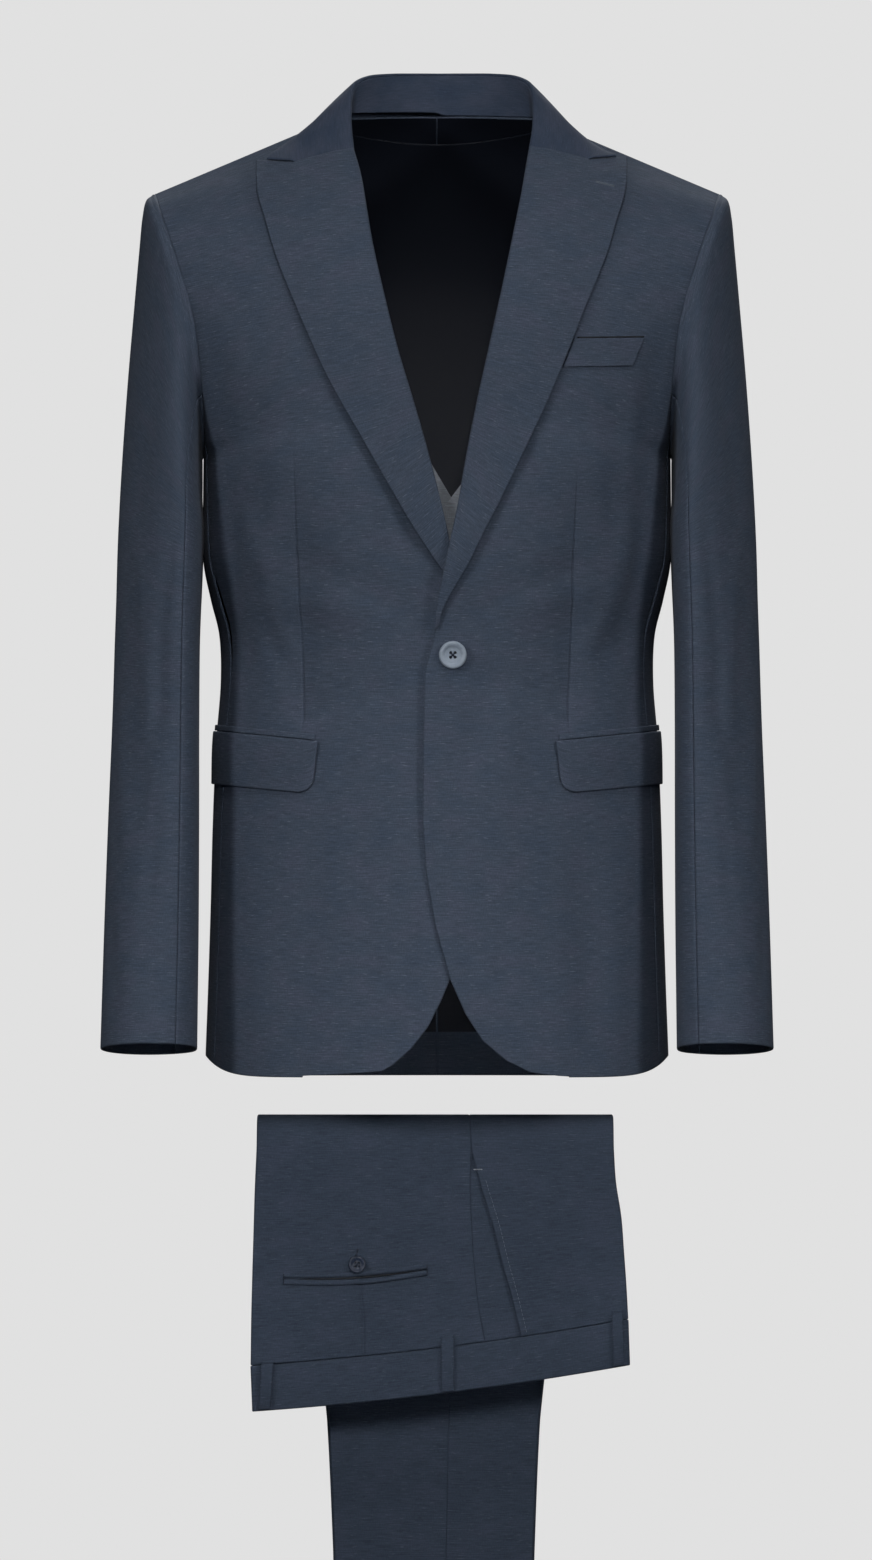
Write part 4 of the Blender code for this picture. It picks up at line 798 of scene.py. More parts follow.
def sleeve_place(side, ring, turn, lift):
    turn = np.where(turn > 180.0, turn - 360.0, turn) + 0.0 * ring
    ring = ring + 0.0 * turn
    down = sleeve_point(side, ring + 0.03, turn) - sleeve_point(side, ring - 0.03, turn)
    around = sleeve_point(side, ring, turn + 2.0) - sleeve_point(side, ring, turn - 2.0)
    normal = unit(np.cross(around, down) * side)
    seam = (ring < -0.7) & (normal[..., 0] * side > -0.2)
    normal[..., 0] = np.where(seam, 0.0, normal[..., 0])
    face = sleeve_point(side, ring, turn)
    ridge = 1.5 * np.exp(-((ring + 0.72) / 0.2) ** 2) * (1 - ease(np.abs(turn), 60.0, 130.0))
    folds = creases(SLEEVE_FOLDS, face[..., 2] / MM, turn * 1.1 * (1 if side > 0 else 0.94))
    relief = ridge * MM + folds * ease(ring, 0.0, 2.5) * (1 - ease(ring, 10.4, 11.0) * 0.6)
    return face + unit(normal) * (lift + relief)[..., None]


ring_lines = np.concatenate((steps(-1.0, 2.0, 34)[:-1], steps(2.0, CUFF, 150)))
ring_lines = with_rims((ring_lines + 1.0) / (CUFF + 1.0), 700.0) * (CUFF + 1.0) - 1.0
SLEEVE_PIECES = (("top", -SLEEVE_SEAM + SEAM_TURN, SLEEVE_SEAM - SEAM_TURN, 62, 260.0),
                 ("under", SLEEVE_SEAM + SEAM_TURN, 359.85 - SLEEVE_SEAM, 26, 90.0))
for side, label in SIDES:
    for piece, start, end, count, size in SLEEVE_PIECES:
        shell(f"sleeve_{piece}_{label}", partial(sleeve_place, side), ring_lines,
              start + (end - start) * with_rims(steps(0, 1, count), size), 2.0,
              JACKET_WORSTED, LINING, facing=(3, 30, 3, 3), rests_on=("front_" + label,))
print("sleeve, mm:", [round(x * 1000) for x in cuts[-2][1]])

# %% [markdown]
# ## Lapels
# A lapel is the front itself, rolled back over a canvas, so its inner edge is a soft round
# fold and its outer edge stands a few millimetres off the chest and throws a thin shade. A
# peak lapel rises in a point beside the collar. The grid starts behind the roll, goes round
# it on a half circle, and then lies along the front's own surface. The wearer's left lapel
# has a flower buttonhole.

# %% Lapels
LAPELS = {1: table("fold_out fold_z edge_out edge_z",
                   (-1.6, -402.0, 0.2, -402.0),
                   (0.9, -383.2, 6.0, -384.0),
                   (5.8, -359.5, 16.6, -364.2),
                   (10.6, -335.8, 25.3, -349.2),
                   (17.4, -304.2, 37.5, -323.9),
                   (24.5, -264.7, 55.3, -289.1),
                   (33.3, -221.2, 78.4, -240.2),
                   (42.1, -181.7, 96.7, -198.3),
                   (52.5, -134.3, 117.3, -146.2),
                   (60.8, -94.8, 132.7, -109.0),
                   (67.5, -61.6, 141.4, -80.6),
                   (71.1, -41.1, 148.5, -56.0),
                   (74.3, -22.1, 149.3, -31.5)),
          -1: table("fold_out fold_z edge_out edge_z",
                    (-12.6, -357.5, -8.0, -360.0),
                    (-9.5, -335.8, 0.8, -349.2),
                    (-2.4, -304.2, 17.4, -323.9),
                    (7.9, -264.7, 37.9, -289.1),
                    (20.5, -221.2, 65.6, -240.2),
                    (32.4, -181.7, 88.5, -198.3),
                    (44.2, -134.3, 111.4, -146.2),
                    (52.9, -94.8, 126.4, -109.0),
                    (58.1, -63.2, 135.1, -80.6),
                    (61.6, -43.5, 141.4, -58.5),
                    (67.2, -23.7, 142.2, -34.0))}
GORGE_DIP, GORGE_AT = 7.0, 0.6
LAPEL_WALL, LAPEL_FOOT, LAPEL_STAND = 1.8, 1.6, 3.2
ROLL = 0.16               # columns up to here go round the roll line


def tent(share, peak):
    """1 at the peak, falling straight to 0 at shares 0 and 1."""
    return 1.0 - np.abs(share - peak) / np.where(share < peak, peak, 1.0 - peak)


def lapel_face(side, row, share, lift):
    lapel = LAPELS[side]
    top = len(lapel["fold_z"]) - 1
    size = {name: read(lapel, name, row) for name in lapel}
    out = size["fold_out"] * (1 - share) + size["edge_out"] * share
    height = size["fold_z"] * (1 - share) + size["edge_z"] * share
    height = height - GORGE_DIP * tent(share, GORGE_AT) * ease(row, top - 1.0, top)
    body_row, turn = locate(out, height)
    narrow = ease(np.abs(size["edge_out"] - size["fold_out"]), 2.0, 20.0)
    stand = LAPEL_FOOT + (LAPEL_STAND - LAPEL_FOOT) * ease(share, 0.0, 0.18)
    loose = 2.2 * np.exp(-((height + 275.0) / 62.0) ** 2)
    stand = LAPEL_FOOT + (stand + (loose - 0.5) * ease(share, 0.45, 1.0) - LAPEL_FOOT) * narrow
    stand = stand + LAPEL_WALL + 0.9 * narrow * np.sin(np.pi * share) ** 2
    return body_lifted(side, body_row, turn, front_lift(side, body_row, turn) + stand * MM + lift)


def lapel_place(side, row, column, lift):
    """Columns 0 to ROLL come round the fold from the inside; the rest is the lapel's face."""
    row, column = np.broadcast_arrays(row, column)
    share = np.clip((column - ROLL) / (1 - ROLL), 0.0, 1.0)
    face = lapel_face(side, row, share, lift)
    fold = lapel_face(side, row, 0.0 * share, lift)
    ahead = lapel_face(side, row, 0.0 * share + 0.02, lift)
    upward = lapel_face(side, row + 0.05, 0.0 * share, lift) - fold
    out = unit(ahead - fold)
    normal = unit(np.cross(out, unit(upward)))
    normal *= np.sign(-normal[..., 1])[..., None]
    angle = (np.pi * (1 - np.clip(column / ROLL, 0, 1)))[..., None]
    full = 2.5 * ease(row, 0.0, 1.5)[..., None] * MM + lift[..., None]
    centre = fold - normal * full
    wrap = centre + full * (normal * np.cos(angle) - out * 0.75 * np.sin(angle))
    return np.where((column < ROLL)[..., None], wrap, face)


for side, label in SIDES:
    top = len(LAPELS[side]["fold_z"]) - 1
    lines = with_rims(steps(0, 1, 120), 400.0) * top
    columns = np.concatenate((steps(0, ROLL, 12)[:-1],
                              ROLL + (1 - ROLL) * with_rims(steps(0, 1, 34), 80.0)[1:]))
    shell("lapel_" + label, partial(lapel_place, side), lines, columns, LAPEL_WALL,
          JACKET_WORSTED, edge=1.1, held="folded", rests_on=("front_" + label,),
          warp_from=0.2, grain=-0.09)

# %% [markdown]
# ## Collar
# The collar is a fall, the part that shows, turned over a stand, the part round the neck.
# Its top is a roll, so one grid runs from the fall's outer edge, up over the roll, and a
# short way down inside. Its front ends meet the lapels at the gorge seam.

# %% Collar
COLLAR = table(
    "fold_out fold_y fold_z foot_out foot_z edge_out edge_z",
    (0.0, 74.0, 37.5, 0.0, 5.0, 0.0, -12.0),
    (22.0, 72.0, 37.5, 21.0, 4.9, 27.0, -12.0),
    (42.0, 63.0, 37.0, 40.0, 4.5, 53.0, -11.0),
    (59.0, 46.5, 35.0, 57.0, 3.9, 78.0, -9.0),
    (69.5, 30.0, 29.0, 68.5, 3.5, 97.0, -7.0),
    (73.0, 13.0, 18.0, 75.0, 2.0, 108.0, -12.0),
    (73.5, -1.0, 5.0, 74.0, -8.0, 118.0, -19.0),
    (73.0, -11.0, -8.0, 72.5, -15.0, 128.0, -24.5),
    (71.0, -22.0, -19.5, 71.0, -22.0, 137.0, -24.5),
)
GORGE = len(COLLAR["fold_z"]) - 1.0      # the station where the collar ends
FALL_STAND = 2.6          # mm, the fall's edge off the shoulders
OVER = 0.2                # columns that go over the roll, and again as many down inside


def neck_place(side, out, height, front, lift):
    """A point on the shoulders below the collar, moved with the neck."""
    row = np.minimum(locate(out, height, front)[0], SHOULDER - 0.01)
    return body_lifted(side, row, turn_at(row, out + side * NECK_X, front), lift)


def collar_line(side, away, outer, lift):
    """A line of points round the collar: its outer edge or its neck seam."""
    out = read(COLLAR, "edge_out" if outer else "foot_out", away)
    height = read(COLLAR, "edge_z" if outer else "foot_z", away)
    flat = np.full(away.shape, lift)
    ahead = neck_place(side, out, height, True, flat)
    behind = neck_place(side, out, height, False, flat)
    share = ease(away, 4.25, 4.75)[..., None]
    return behind * (1 - share) + ahead * share


def collar_fold(side, away):
    return np.stack((side * read(COLLAR, "fold_out", away) + NECK_X,
                     read(COLLAR, "fold_y", away), read(COLLAR, "fold_z", away)), -1) * MM


def fall_half(side, away, share, lift):
    fold = collar_fold(side, away)
    edge = collar_line(side, away, True, FALL_STAND * MM)
    along = collar_fold(side, np.minimum(away + 0.1, GORGE)) - collar_fold(
        side, np.maximum(away - 0.1, 0.0))
    normal = unit(np.cross(along, edge - fold) * side)
    crown = (6.0 * (1.0 - ease(away, 0.5, 3.0)) + 1.5) * 4.0 * share * (1.0 - share)
    point = fold + (edge - fold) * share[..., None] + normal * (crown * MM + 2.0 * MM)[..., None]
    point = point + normal * lift[..., None]
    # the front end runs in under the top edge of the lapel, and lies loose past the gorge seam
    top = len(LAPELS[side]["fold_z"]) - 1.0
    under = lift + (-0.55 + 1.3 * ease(share, 0.62, 0.72)) * MM
    tucked = lapel_face(side, top + 0.0 * away, share * 0.885, under)
    tucked = tucked - np.array((0.0, 0.0, 1.4)) * (1 - ease(share, 0.60, 0.68))[..., None] * MM
    tucked = tucked + np.array((0.0, 0.0, 0.9)) * ease(share, 0.62, 0.72)[..., None] * MM
    blend = ease(away, 6.3, GORGE)[..., None]
    return point * (1 - blend) + tucked * blend, normal


def fall_place(station, column, lift):
    """Columns below 0 go over the roll and down inside; 0 to 1 is the fall's face."""
    station, column = np.broadcast_arrays(station, column)
    left = station >= 0
    away = np.abs(station)
    share = np.clip(column, 0.0, 1.0)
    sides = [fall_half(side, away, share, lift) for side in (1, -1)]
    face = np.where(left[..., None], sides[0][0], sides[1][0])
    starts = [fall_half(side, away, 0.0 * share, lift) for side in (1, -1)]
    aheads = [fall_half(side, away, 0.0 * share + 0.03, lift) for side in (1, -1)]
    fold, normal = (np.where(left[..., None], a, b) for a, b in zip(*starts))
    ahead = np.where(left[..., None], aheads[0][0], aheads[1][0])
    down = unit(ahead - fold)
    turn = (np.pi * np.clip(-column / OVER, 0, 1))[..., None]
    radius = 1.9 * MM + lift[..., None]
    wrap = fold - normal * radius + radius * (normal * np.cos(turn) - down * np.sin(turn))
    wrap = wrap + down * (9.0 * MM * np.clip(-column / OVER - 1.0, 0, 1))[..., None]
    return np.where((column < 0)[..., None], wrap, face)


stations = with_rims(steps(0, 1, 150), 420.0) * 2 * GORGE - GORGE
# the collar's finish is the jacket's cloth drawn darker: painted shade
shell("collar_fall", fall_place, stations,
      np.concatenate((steps(-2 * OVER, -OVER, 5)[:-1], steps(-OVER, 0.0, 10)[:-1],
                      with_rims(steps(0, 1, 40), 62.0)[1:])),
      2.0, COLLAR_SHADED_WORSTED, edge=1.1, held="folded",
      rests_on=("back_left", "back_right"), grain=math.pi / 2, warp_from=0.0)


def stand_place(station, share, lift):
    """The stand, from the neck seam up to just under the roll."""
    station, share = np.broadcast_arrays(station, share)
    left = (station >= 0)[..., None]
    away = np.abs(station)
    fold = np.where(left, collar_fold(1, away), collar_fold(-1, away))
    foot = np.where(left, collar_line(1, away, False, 0.0), collar_line(-1, away, False, 0.0))
    foot = foot + np.array((0.0, 0.0, 1.6)) * MM
    inward = np.array((NECK_X * MM, 0.0, 0.0)) - foot
    inward[..., 2] = 0.0
    inward = unit(inward)
    top = fold + inward * 0.6 * MM - np.array((0.0, 0.0, 0.5)) * MM
    return foot + (top - foot) * share[..., None] + inward * (lift + 1.6 * MM)[..., None]


stations = with_rims(steps(0, 1, 110), 260.0) * 12.0 - 6.0
shell("collar_stand", stand_place, stations, with_rims(steps(0, 1, 10), 33.0), 1.6,
      COLLAR_SHADED_WORSTED, edge=1.0, rests_on=("back_left", "back_right"), grain=math.pi / 2)

# %% [markdown]
# ## Pockets
# Each hip pocket is a slit with a jet, a narrow folded strip, along its upper edge and a flap
# that hangs from it, with rounded corners. The chest has a welt, a folded strip set on at a
# slant and sewn down at its ends. They are all cut from the front's own surface, with its
# creases, and lie a millimetre or two proud of it.

# %% Hip pockets and chest welt
POCKET = {"inner_out": 96.0, "outer_turn": 97.0, "top_z": -490.5, "rise": 7.5, "reach": 76.0,
          "width": 148.0, "drop": 42.0, "jet": 5.0, "corner": 13.0}
WELT = {"out": 108.2, "width": 55.3, "top_z": -173.5, "height": 22.5, "slant": 9.6}


def pocket_place(side, share, depth, lift):
    side_x = BODY["side_x"][5]
    first = math.degrees(math.asin(POCKET["inner_out"] / side_x))
    turn = first + (POCKET["outer_turn"] - first) * share
    out = side_x * np.sin(np.radians(turn))
    line = POCKET["top_z"] + POCKET["rise"] * (out - POCKET["inner_out"]) / POCKET["reach"]
    row = locate(np.minimum(out, 170.0), line - depth)[0]
    relief = front_relief(side, row, np.minimum(turn, 90.0))
    return body_lifted(side, row, turn, lift + relief)


def flap_place(side, share, fall, lift):
    share, fall = np.broadcast_arrays(share, fall)
    near_end = np.minimum(share, 1.0 - share) * POCKET["width"]
    corner = POCKET["corner"]
    round_off = np.maximum(corner ** 2 - np.maximum(corner - near_end, 0.0) ** 2, 0.0)
    cut = np.where(near_end < corner, corner - np.sqrt(round_off), 0.0)
    lean = 0.02 * (1.0 - fall) * np.where(share < 0.5, 1.0, -1.0) * np.abs(2 * share - 1)
    belly = 0.9 * np.sin(np.pi * fall * 0.8) * np.sin(np.pi * np.clip(share, 0, 1)) ** 0.5 * MM
    tilt = (3.6 - 1.6 * ease(fall, 0.0, 1.0)) * MM
    tilt = tilt + (2.0 * MM - tilt) * ease(share, 0.75, 1.0)
    return pocket_place(side, share - lean, fall * (POCKET["drop"] - cut), lift + belly + tilt)


def jet_place(side, share, depth, lift):
    return pocket_place(side, share, depth, lift + 1.9 * MM)


def welt_place(along, fall, lift):
    out = WELT["out"] + along * WELT["width"] - WELT["slant"] * fall
    row, turn = locate(out, WELT["top_z"] - fall * WELT["height"] + 1.0 * along)
    press = 0.5 * MM * (1 - ease(fall, 0.0, 0.5))
    return body_lifted(1, row, turn, lift + front_relief(1, row, turn) + 1.9 * MM + press)


near = np.array([0.01, 0.02, 0.03, 0.045, 0.06, 0.075])      # more columns at the corners
ends = np.sort(np.concatenate((with_rims(steps(0, 1, 60), POCKET["width"]), near, 1 - near)))
for side, label in SIDES:
    shell("pocket_flap_" + label, partial(flap_place, side), ends,
          with_rims(steps(0, 1, 16), POCKET["drop"]), 1.8, JACKET_WORSTED, edge=1.1,
          held="hung", rests_on=("front_" + label,), grain=math.pi / 2)
    shell("pocket_jet_" + label, partial(jet_place, side), ends,
          -POCKET["jet"] + (POCKET["jet"] - 0.4) * with_rims(steps(0, 1, 4), 5.0, 0.9),
          1.4, JACKET_WORSTED, edge=0.9, grain=math.pi / 2, sewn_to="pocket_flap_" + label)
shell("chest_welt", welt_place, with_rims(steps(0, 1, 26), 56.0),
      with_rims(steps(0, 1, 12), 22.0), 1.5, JACKET_WORSTED, edge=0.9, held="stretched",
      rests_on=("front_left",), grain=math.pi / 2)
# a thin near-black strip along the welt's top edge, set back behind it: painted shade in the
# pocket's mouth
shell("chest_pocket_mouth_shade",
      lambda along, fall, lift: welt_place(along, -0.06 * fall, lift) + (0.0, 1.5 * MM, 0.0),
      steps(0.03, 0.98, 30), steps(0, 1, 3), 0.3, HOLE_PAINTED_SHADE, edge=0.1, replaces=False,
      sewn_to="chest_welt")

# %% [markdown]
# ## Buttons
# A sewn button has four holes in a dished middle and a crossed bundle of thread through
# them. Turning a profile gives the dish but not the holes, so the face is a fine round grid
# whose height is the turned profile, pressed down at each hole. The pits are shallow, and
# their floors are drawn near black: painted shade for the depth of a hole.

# %% Buttons
AROUND = 96               # steps round a button
STRANDS = (-1, 0, 1)      # each arm of the cross is three threads, side by side
FACE = table("radius height", (0.0, 0.56), (0.2, 0.56), (0.45, 0.58), (0.58, 0.68),
             (0.68, 0.88), (0.8, 1.0), (0.9, 1.0), (0.97, 0.86), (1.0, 0.6))


def finished(name, work, *finishes):
    """The mesh of a bmesh, with its normals out and its finishes on."""
    bmesh.ops.recalc_face_normals(work, faces=work.faces)
    mesh = bpy.data.meshes.new(name)
    work.to_mesh(mesh)
    work.free()
    for finish in finishes:
        mesh.materials.append(finish)
    return mesh


def tube(work, rings):
    """Smooth faces between rings of vertices, and a cap on each end."""
    for ring, following in zip(rings, rings[1:]):
        for k in range(len(ring)):
            after = (k + 1) % len(ring)
            work.faces.new((ring[k], ring[after], following[after], following[k])).smooth = True
    work.faces.new(rings[0][::-1])
    work.faces.new(rings[-1])


def button(name, centre, radius, thick, hole_at, hole_size, finish, cross, replaces):
    """A four-hole button facing -Y, with a cross of thread in its holes."""
    work = bmesh.new()
    radii = np.concatenate((steps(0.03, 0.6, 26), steps(0.62, 1.0, 20)))
    rings = []
    for share in radii:
        ring = []
        for k in range(AROUND):
            angle = math.tau * k / AROUND
            x, z = share * math.cos(angle), share * math.sin(angle)
            height = float(np.interp(share, FACE["radius"], FACE["height"]))
            near = min(math.hypot(x - hx, z - hz) for hx in (-hole_at, hole_at)
                       for hz in (-hole_at, hole_at))
            height -= 0.5 * (1 - float(ease(near, hole_size * 0.75, hole_size * 1.15)))
            ring.append(work.verts.new((x * radius, -height * thick, z * radius)))
        rings.append(ring)
    rings += [[work.verts.new((share * radius * math.cos(math.tau * k / AROUND), -y * thick,
                               share * radius * math.sin(math.tau * k / AROUND)))
               for k in range(AROUND)] for share, y in ((0.97, 0.3), (0.82, 0.0), (0.35, 0.0))]
    for ring, following in zip(rings, rings[1:]):
        for k in range(AROUND):
            work.faces.new((ring[k], following[k], following[(k + 1) % AROUND],
                            ring[(k + 1) % AROUND]))
    work.faces.new(rings[0][::-1])
    work.faces.new(rings[-1])
    # the faces deep in the pits take the near-black finish: painted shade in the holes
    dark = [face for face in work.faces
            if -face.calc_center_median().y < 0.4 * thick
            and math.hypot(*face.calc_center_median().xz) < 0.5 * radius]
    for face in work.faces:
        face.smooth = True
        face.material_index = 0
    for face in dark:
        face.material_index = 1
    thing = carried(name + "_resin", finished(name, work, finish, HOLE_PAINTED_SHADE), centre)
    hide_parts(replaces)
    size = hole_at * radius
    for k, (a, b) in enumerate((((-size, -size), (size, size)), ((-size, size), (size, -size)))):
        for strand in STRANDS:
            offset = strand * 0.28 * MM
            points = []
            for t in steps(0, 1, 9):
                x = a[0] + (b[0] - a[0]) * t + offset
                z = a[1] + (b[1] - a[1]) * t - offset * (1 if k == 0 else -1)
                arch = 0.34 + 0.34 * math.sin(math.pi * t) ** 0.6
                points.append(Vector(centre) + Vector((x, -arch * thick - k * 0.25 * MM, z)))
            strand_of_thread(f"{name}_thread_{k}_{strand + 1}", points, 0.22 * MM, cross)


def strand_of_thread(name, points, radius, finish, sides=8):
    """A round strand along a few points, as a mesh."""
    points = [Vector(point) for point in points]
    work = bmesh.new()
    rings = []
    for i, point in enumerate(points):
        ahead = (points[min(i + 1, len(points) - 1)] - points[max(i - 1, 0)]).normalized()
        across = ahead.cross(Vector((0, 0, 1)) if abs(ahead.z) < 0.9 else Vector((1, 0, 0)))
        across.normalize()
        other = ahead.cross(across)
        rings.append([work.verts.new(point + (across * math.cos(a) + other * math.sin(a)) * radius)
                      for a in (math.tau * k / sides for k in range(sides))])
    tube(work, rings)
    carried(name, finished(name, work, finish))


low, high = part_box("button_front")
button("front_button", ((low.x + high.x) / 2, high.y, (low.z + high.z) / 2),
       (high.x - low.x) / 2, high.y - low.y, 0.16, 0.105, PALE_RESIN, NAVY_THREAD,
       "button_front")

# %% [markdown]
# ## Waistcoat
# The waistcoat shows as two slim pieces of grey in the opening, the left over the right, and
# its back is lining. It follows the jacket's surface, moved in, and carries the jacket's
# shoulders.

# %% Waistcoat
WAISTCOAT_NECKS = {
    1: table("height out", (-520.0, -18.0), (-330.0, -14.0), (-307.3, 4.7), (-286.8, 20.4),
             (-265.0, 36.0), (-240.0, 50.0), (-181.0, 64.0), (-134.0, 72.0), (-95.0, 79.0),
             (-61.0, 84.0), (-22.0, 88.0), (4.0, 92.0)),
    -1: table("height out", (-520.0, -28.0), (-318.0, -22.0), (-297.0, -10.0), (-264.7, 9.0),
              (-240.0, 25.0), (-181.0, 50.0), (-134.0, 64.0), (-95.0, 72.0), (-61.0, 78.0),
              (-22.0, 82.0), (4.0, 86.0))}
WAISTCOAT_LIFT = {1: -6.5, -1: -11.5}
WAISTCOAT_SIDE_LIFT, WAISTCOAT_SHOULDER_LIFT = -8.0, -2.8
WAISTCOAT_HOLE = table("share", (1.0,), (0.80,), (0.68,), (0.61,), (0.57,), (0.53,), (0.50,),
                       (0.47,))
WAISTCOAT_NECK = {"row": 14.0, "out": 88.0, "z": -14.0}


def waistcoat_reach(row):
    return np.where(row <= 10.0, 1.0, read(WAISTCOAT_HOLE, "share", row - 10.0))


def waistcoat_lift(row, front_mm, share):
    base = front_mm + (WAISTCOAT_SIDE_LIFT - front_mm) * ease(share, 0.4, 1.0)
    return (base + (WAISTCOAT_SHOULDER_LIFT - base) * ease(row, 14.5, 16.5)) * MM


def waistcoat_front_place(side, row, share, lift):
    first = edge_turn(WAISTCOAT_NECKS[side], row)
    last = 90.0 * waistcoat_reach(row) - 0.08
    turn = first + (last - first) * share
    return body_lifted(side, row, turn, lift + waistcoat_lift(row, WAISTCOAT_LIFT[side], share))


def waistcoat_back_place(row, share, lift):
    row, share = np.broadcast_arrays(row, share)
    last = 90.0 * (2.0 - waistcoat_reach(row)) + 0.08
    turn = 180.0 + (last - 180.0) * np.abs(share)
    out = body_point(1, row, turn)[..., 0] / MM
    rise = 11.0 * (out / WAISTCOAT_NECK["out"]) ** 2
    top = locate(out, WAISTCOAT_NECK["z"] + rise, front=False)[0]
    start = WAISTCOAT_NECK["row"]
    scale = np.minimum((top - start) / (SHOULDER - start), 1.0)
    bend = (row > start) & (out < WAISTCOAT_NECK["out"])
    row = np.where(bend, start + (row - start) * scale, row)
    lifted = lift + waistcoat_lift(row, WAISTCOAT_SIDE_LIFT, 1.0 + 0.0 * share)
    sides = [body_lifted(side, row, turn, lifted) for side in (1, -1)]
    return np.where((share >= 0)[..., None], *sides)


waistcoat_lines = 4.7 + (SHOULDER - 4.708) * with_rims(steps(0, 1, 120), 520.0)
for side, label in SIDES:
    shell("waistcoat_front_" + label, partial(waistcoat_front_place, side), waistcoat_lines,
          with_rims(steps(0, 1, 34), 190.0), 1.6, GREY_WORSTED, LINING,
          facing=(20, 5, 45, 5), edge=1.0, rests_on=("waistcoat_back",), warp_from=1.0)
shell("waistcoat_back", waistcoat_back_place, waistcoat_lines,
      with_rims(steps(0, 1, 80), 380.0) * 2 - 1, 1.6, LINING, edge=1.0,
      rests_on=("waistcoat_front_left", "waistcoat_front_right"))

# %% [markdown]
# ## Stitches
# Hand-set and machine stitches are short strands of thread that dive into the cloth at both
# ends. A row of them is made by walking along a line of points and laying one small capsule
# after another, so the cloth dimples between them.

# %% Stitches
def stitches(name, points, finish, long, gap, radius, carrier, sunk=0.05):
    """A row of stitches along points, each given with the cloth's outward normal. The row
    goes with the piece that carries it."""
    points = [(Vector(point), Vector(normal)) for point, normal in points]
    travelled = [0.0]
    for (a, _), (b, _) in zip(points, points[1:]):
        travelled.append(travelled[-1] + (b - a).length / MM)
    work = bmesh.new()
    at = gap / 2
    while at + long < travelled[-1]:
        strand = []
        for t in (0.0, 0.15, 0.5, 0.85, 1.0):
            place = at + long * t
            i = min(max(int(np.searchsorted(travelled, place)) - 1, 0), len(points) - 2)
            share = (place - travelled[i]) / (travelled[i + 1] - travelled[i])
            point = points[i][0].lerp(points[i + 1][0], share)
            normal = points[i][1].lerp(points[i + 1][1], share)
            height = radius * (0.9 - 1.6 * abs(2 * t - 1) ** 3) - sunk
            strand.append((point + normal * height * MM, normal,
                           (points[i + 1][0] - points[i][0]).normalized()))
        rings = []
        for k, (point, normal, ahead) in enumerate(strand):
            across = ahead.cross(normal).normalized()
            thick = radius * MM * (0.55 if k in (0, 4) else 1.0)
            rings.append([work.verts.new(point + (across * math.cos(a) + normal * math.sin(a))
                                         * thick) for a in (math.tau * j / 6 for j in range(6))])
        tube(work, rings)
        at += long + gap
    thing = carried(name, finished(name, work, finish))
    sewn_on.setdefault(carrier, []).append(thing)


def on_cloth(place, pairs, lift=0.0):
    """Points with normals, for stitches, along (row, column) pairs of a place function."""
    found = []
    for row, column in pairs:
        grid = place(np.array([[row], [row + 0.002]]), np.array([[column, column + 0.002]]),
                     np.full((2, 2), lift * MM))
        normal = np.cross(grid[1, 0] - grid[0, 0], grid[0, 1] - grid[0, 0])
        raised = place(np.array([[row]]), np.array([[column]]), np.full((1, 1), MM))[0, 0]
        normal = unit(normal) * np.sign((normal * (raised - grid[0, 0])).sum())
        found.append((grid[0, 0], normal))
    return found


# %% [markdown]
# ## Trousers
# The trousers hang over a bar, folded flat along their pressed creases: the waist in front,
# the legs behind. Each leg is a tube pressed flat, so its outer side is a front and a back
# panel with a side seam between them, and both turn round the crease at their far edge.
# All of it is told by three numbers: a path up the front, over the bar and down behind, the
# place across, and how deep a layer lies in the stack.

# %% Trouser places
BAR_Z, BAR_GAP, STACK = -812.0, 14.0, 12.0
HEM_Z, BAND = -1560.0, 36.5
HANGING = table("left_x right_x seam_x slant_x",
                (-142.7, 139.8, 26.9, 26.9),
                (-144.2, 141.6, 26.3, 35.0),
                (-145.2, 145.8, 27.6, 44.2),
                (-146.2, 147.9, 29.5, 51.6),
                (-147.0, 149.8, 32.8, 59.6),
                (-147.4, 151.3, 37.8, 66.5))
BAND_ENDS = {"left_x": (-147.4, -146.0), "right_x": (151.3, 152.5)}
LEGS = table("fall left_x right_x seam_x",
             (0.0, -142.0, 139.2, 24.0),
             (45.0, -133.0, 129.5, 20.0),
             (95.0, -113.0, 108.5, 14.5),
             (150.0, -95.5, 90.5, 10.8),
             (215.0, -87.2, 81.8, 9.2),
             (320.0, -82.3, 77.3, 7.3),
             (500.0, -78.5, 74.0, 6.0),
             (748.0, -75.5, 71.5, 5.0))
PATH_LENGTHS = (165.0, 247.0, 995.0)     # mm to the bar, to the end of the bar, to the hem
HANG_FALL, LEG_FALL = 190.0, BAR_Z - HEM_Z     # mm from the bar to the waist, and to the hem
FOLD = 0.06                              # columns beyond 0 or 1 that go round a crease
CREASE_DEPTH, CREASE_OUT = 2.9, 1.5


def waist_z(x):
    return -1007.0 + 0.122 * x + 0.000185 * x ** 2


def hanging_row(path):
    return np.clip(-path, 0.0, 1.0) * (len(HANGING["left_x"]) - 1)


def size_at(path, name):
    """An edge's x at a path value, eased over the bar between the two tables."""
    above = read(HANGING, name, hanging_row(path))
    leg_name = "seam_x" if name == "slant_x" else name
    fall = LEG_FALL * np.clip(path - 1.0, 0.0, 1.0)
    below = read(LEGS, leg_name, np.interp(fall, LEGS["fall"], np.arange(len(LEGS["fall"]))))
    return above + (below - above) * np.clip(path, 0.0, 1.0)


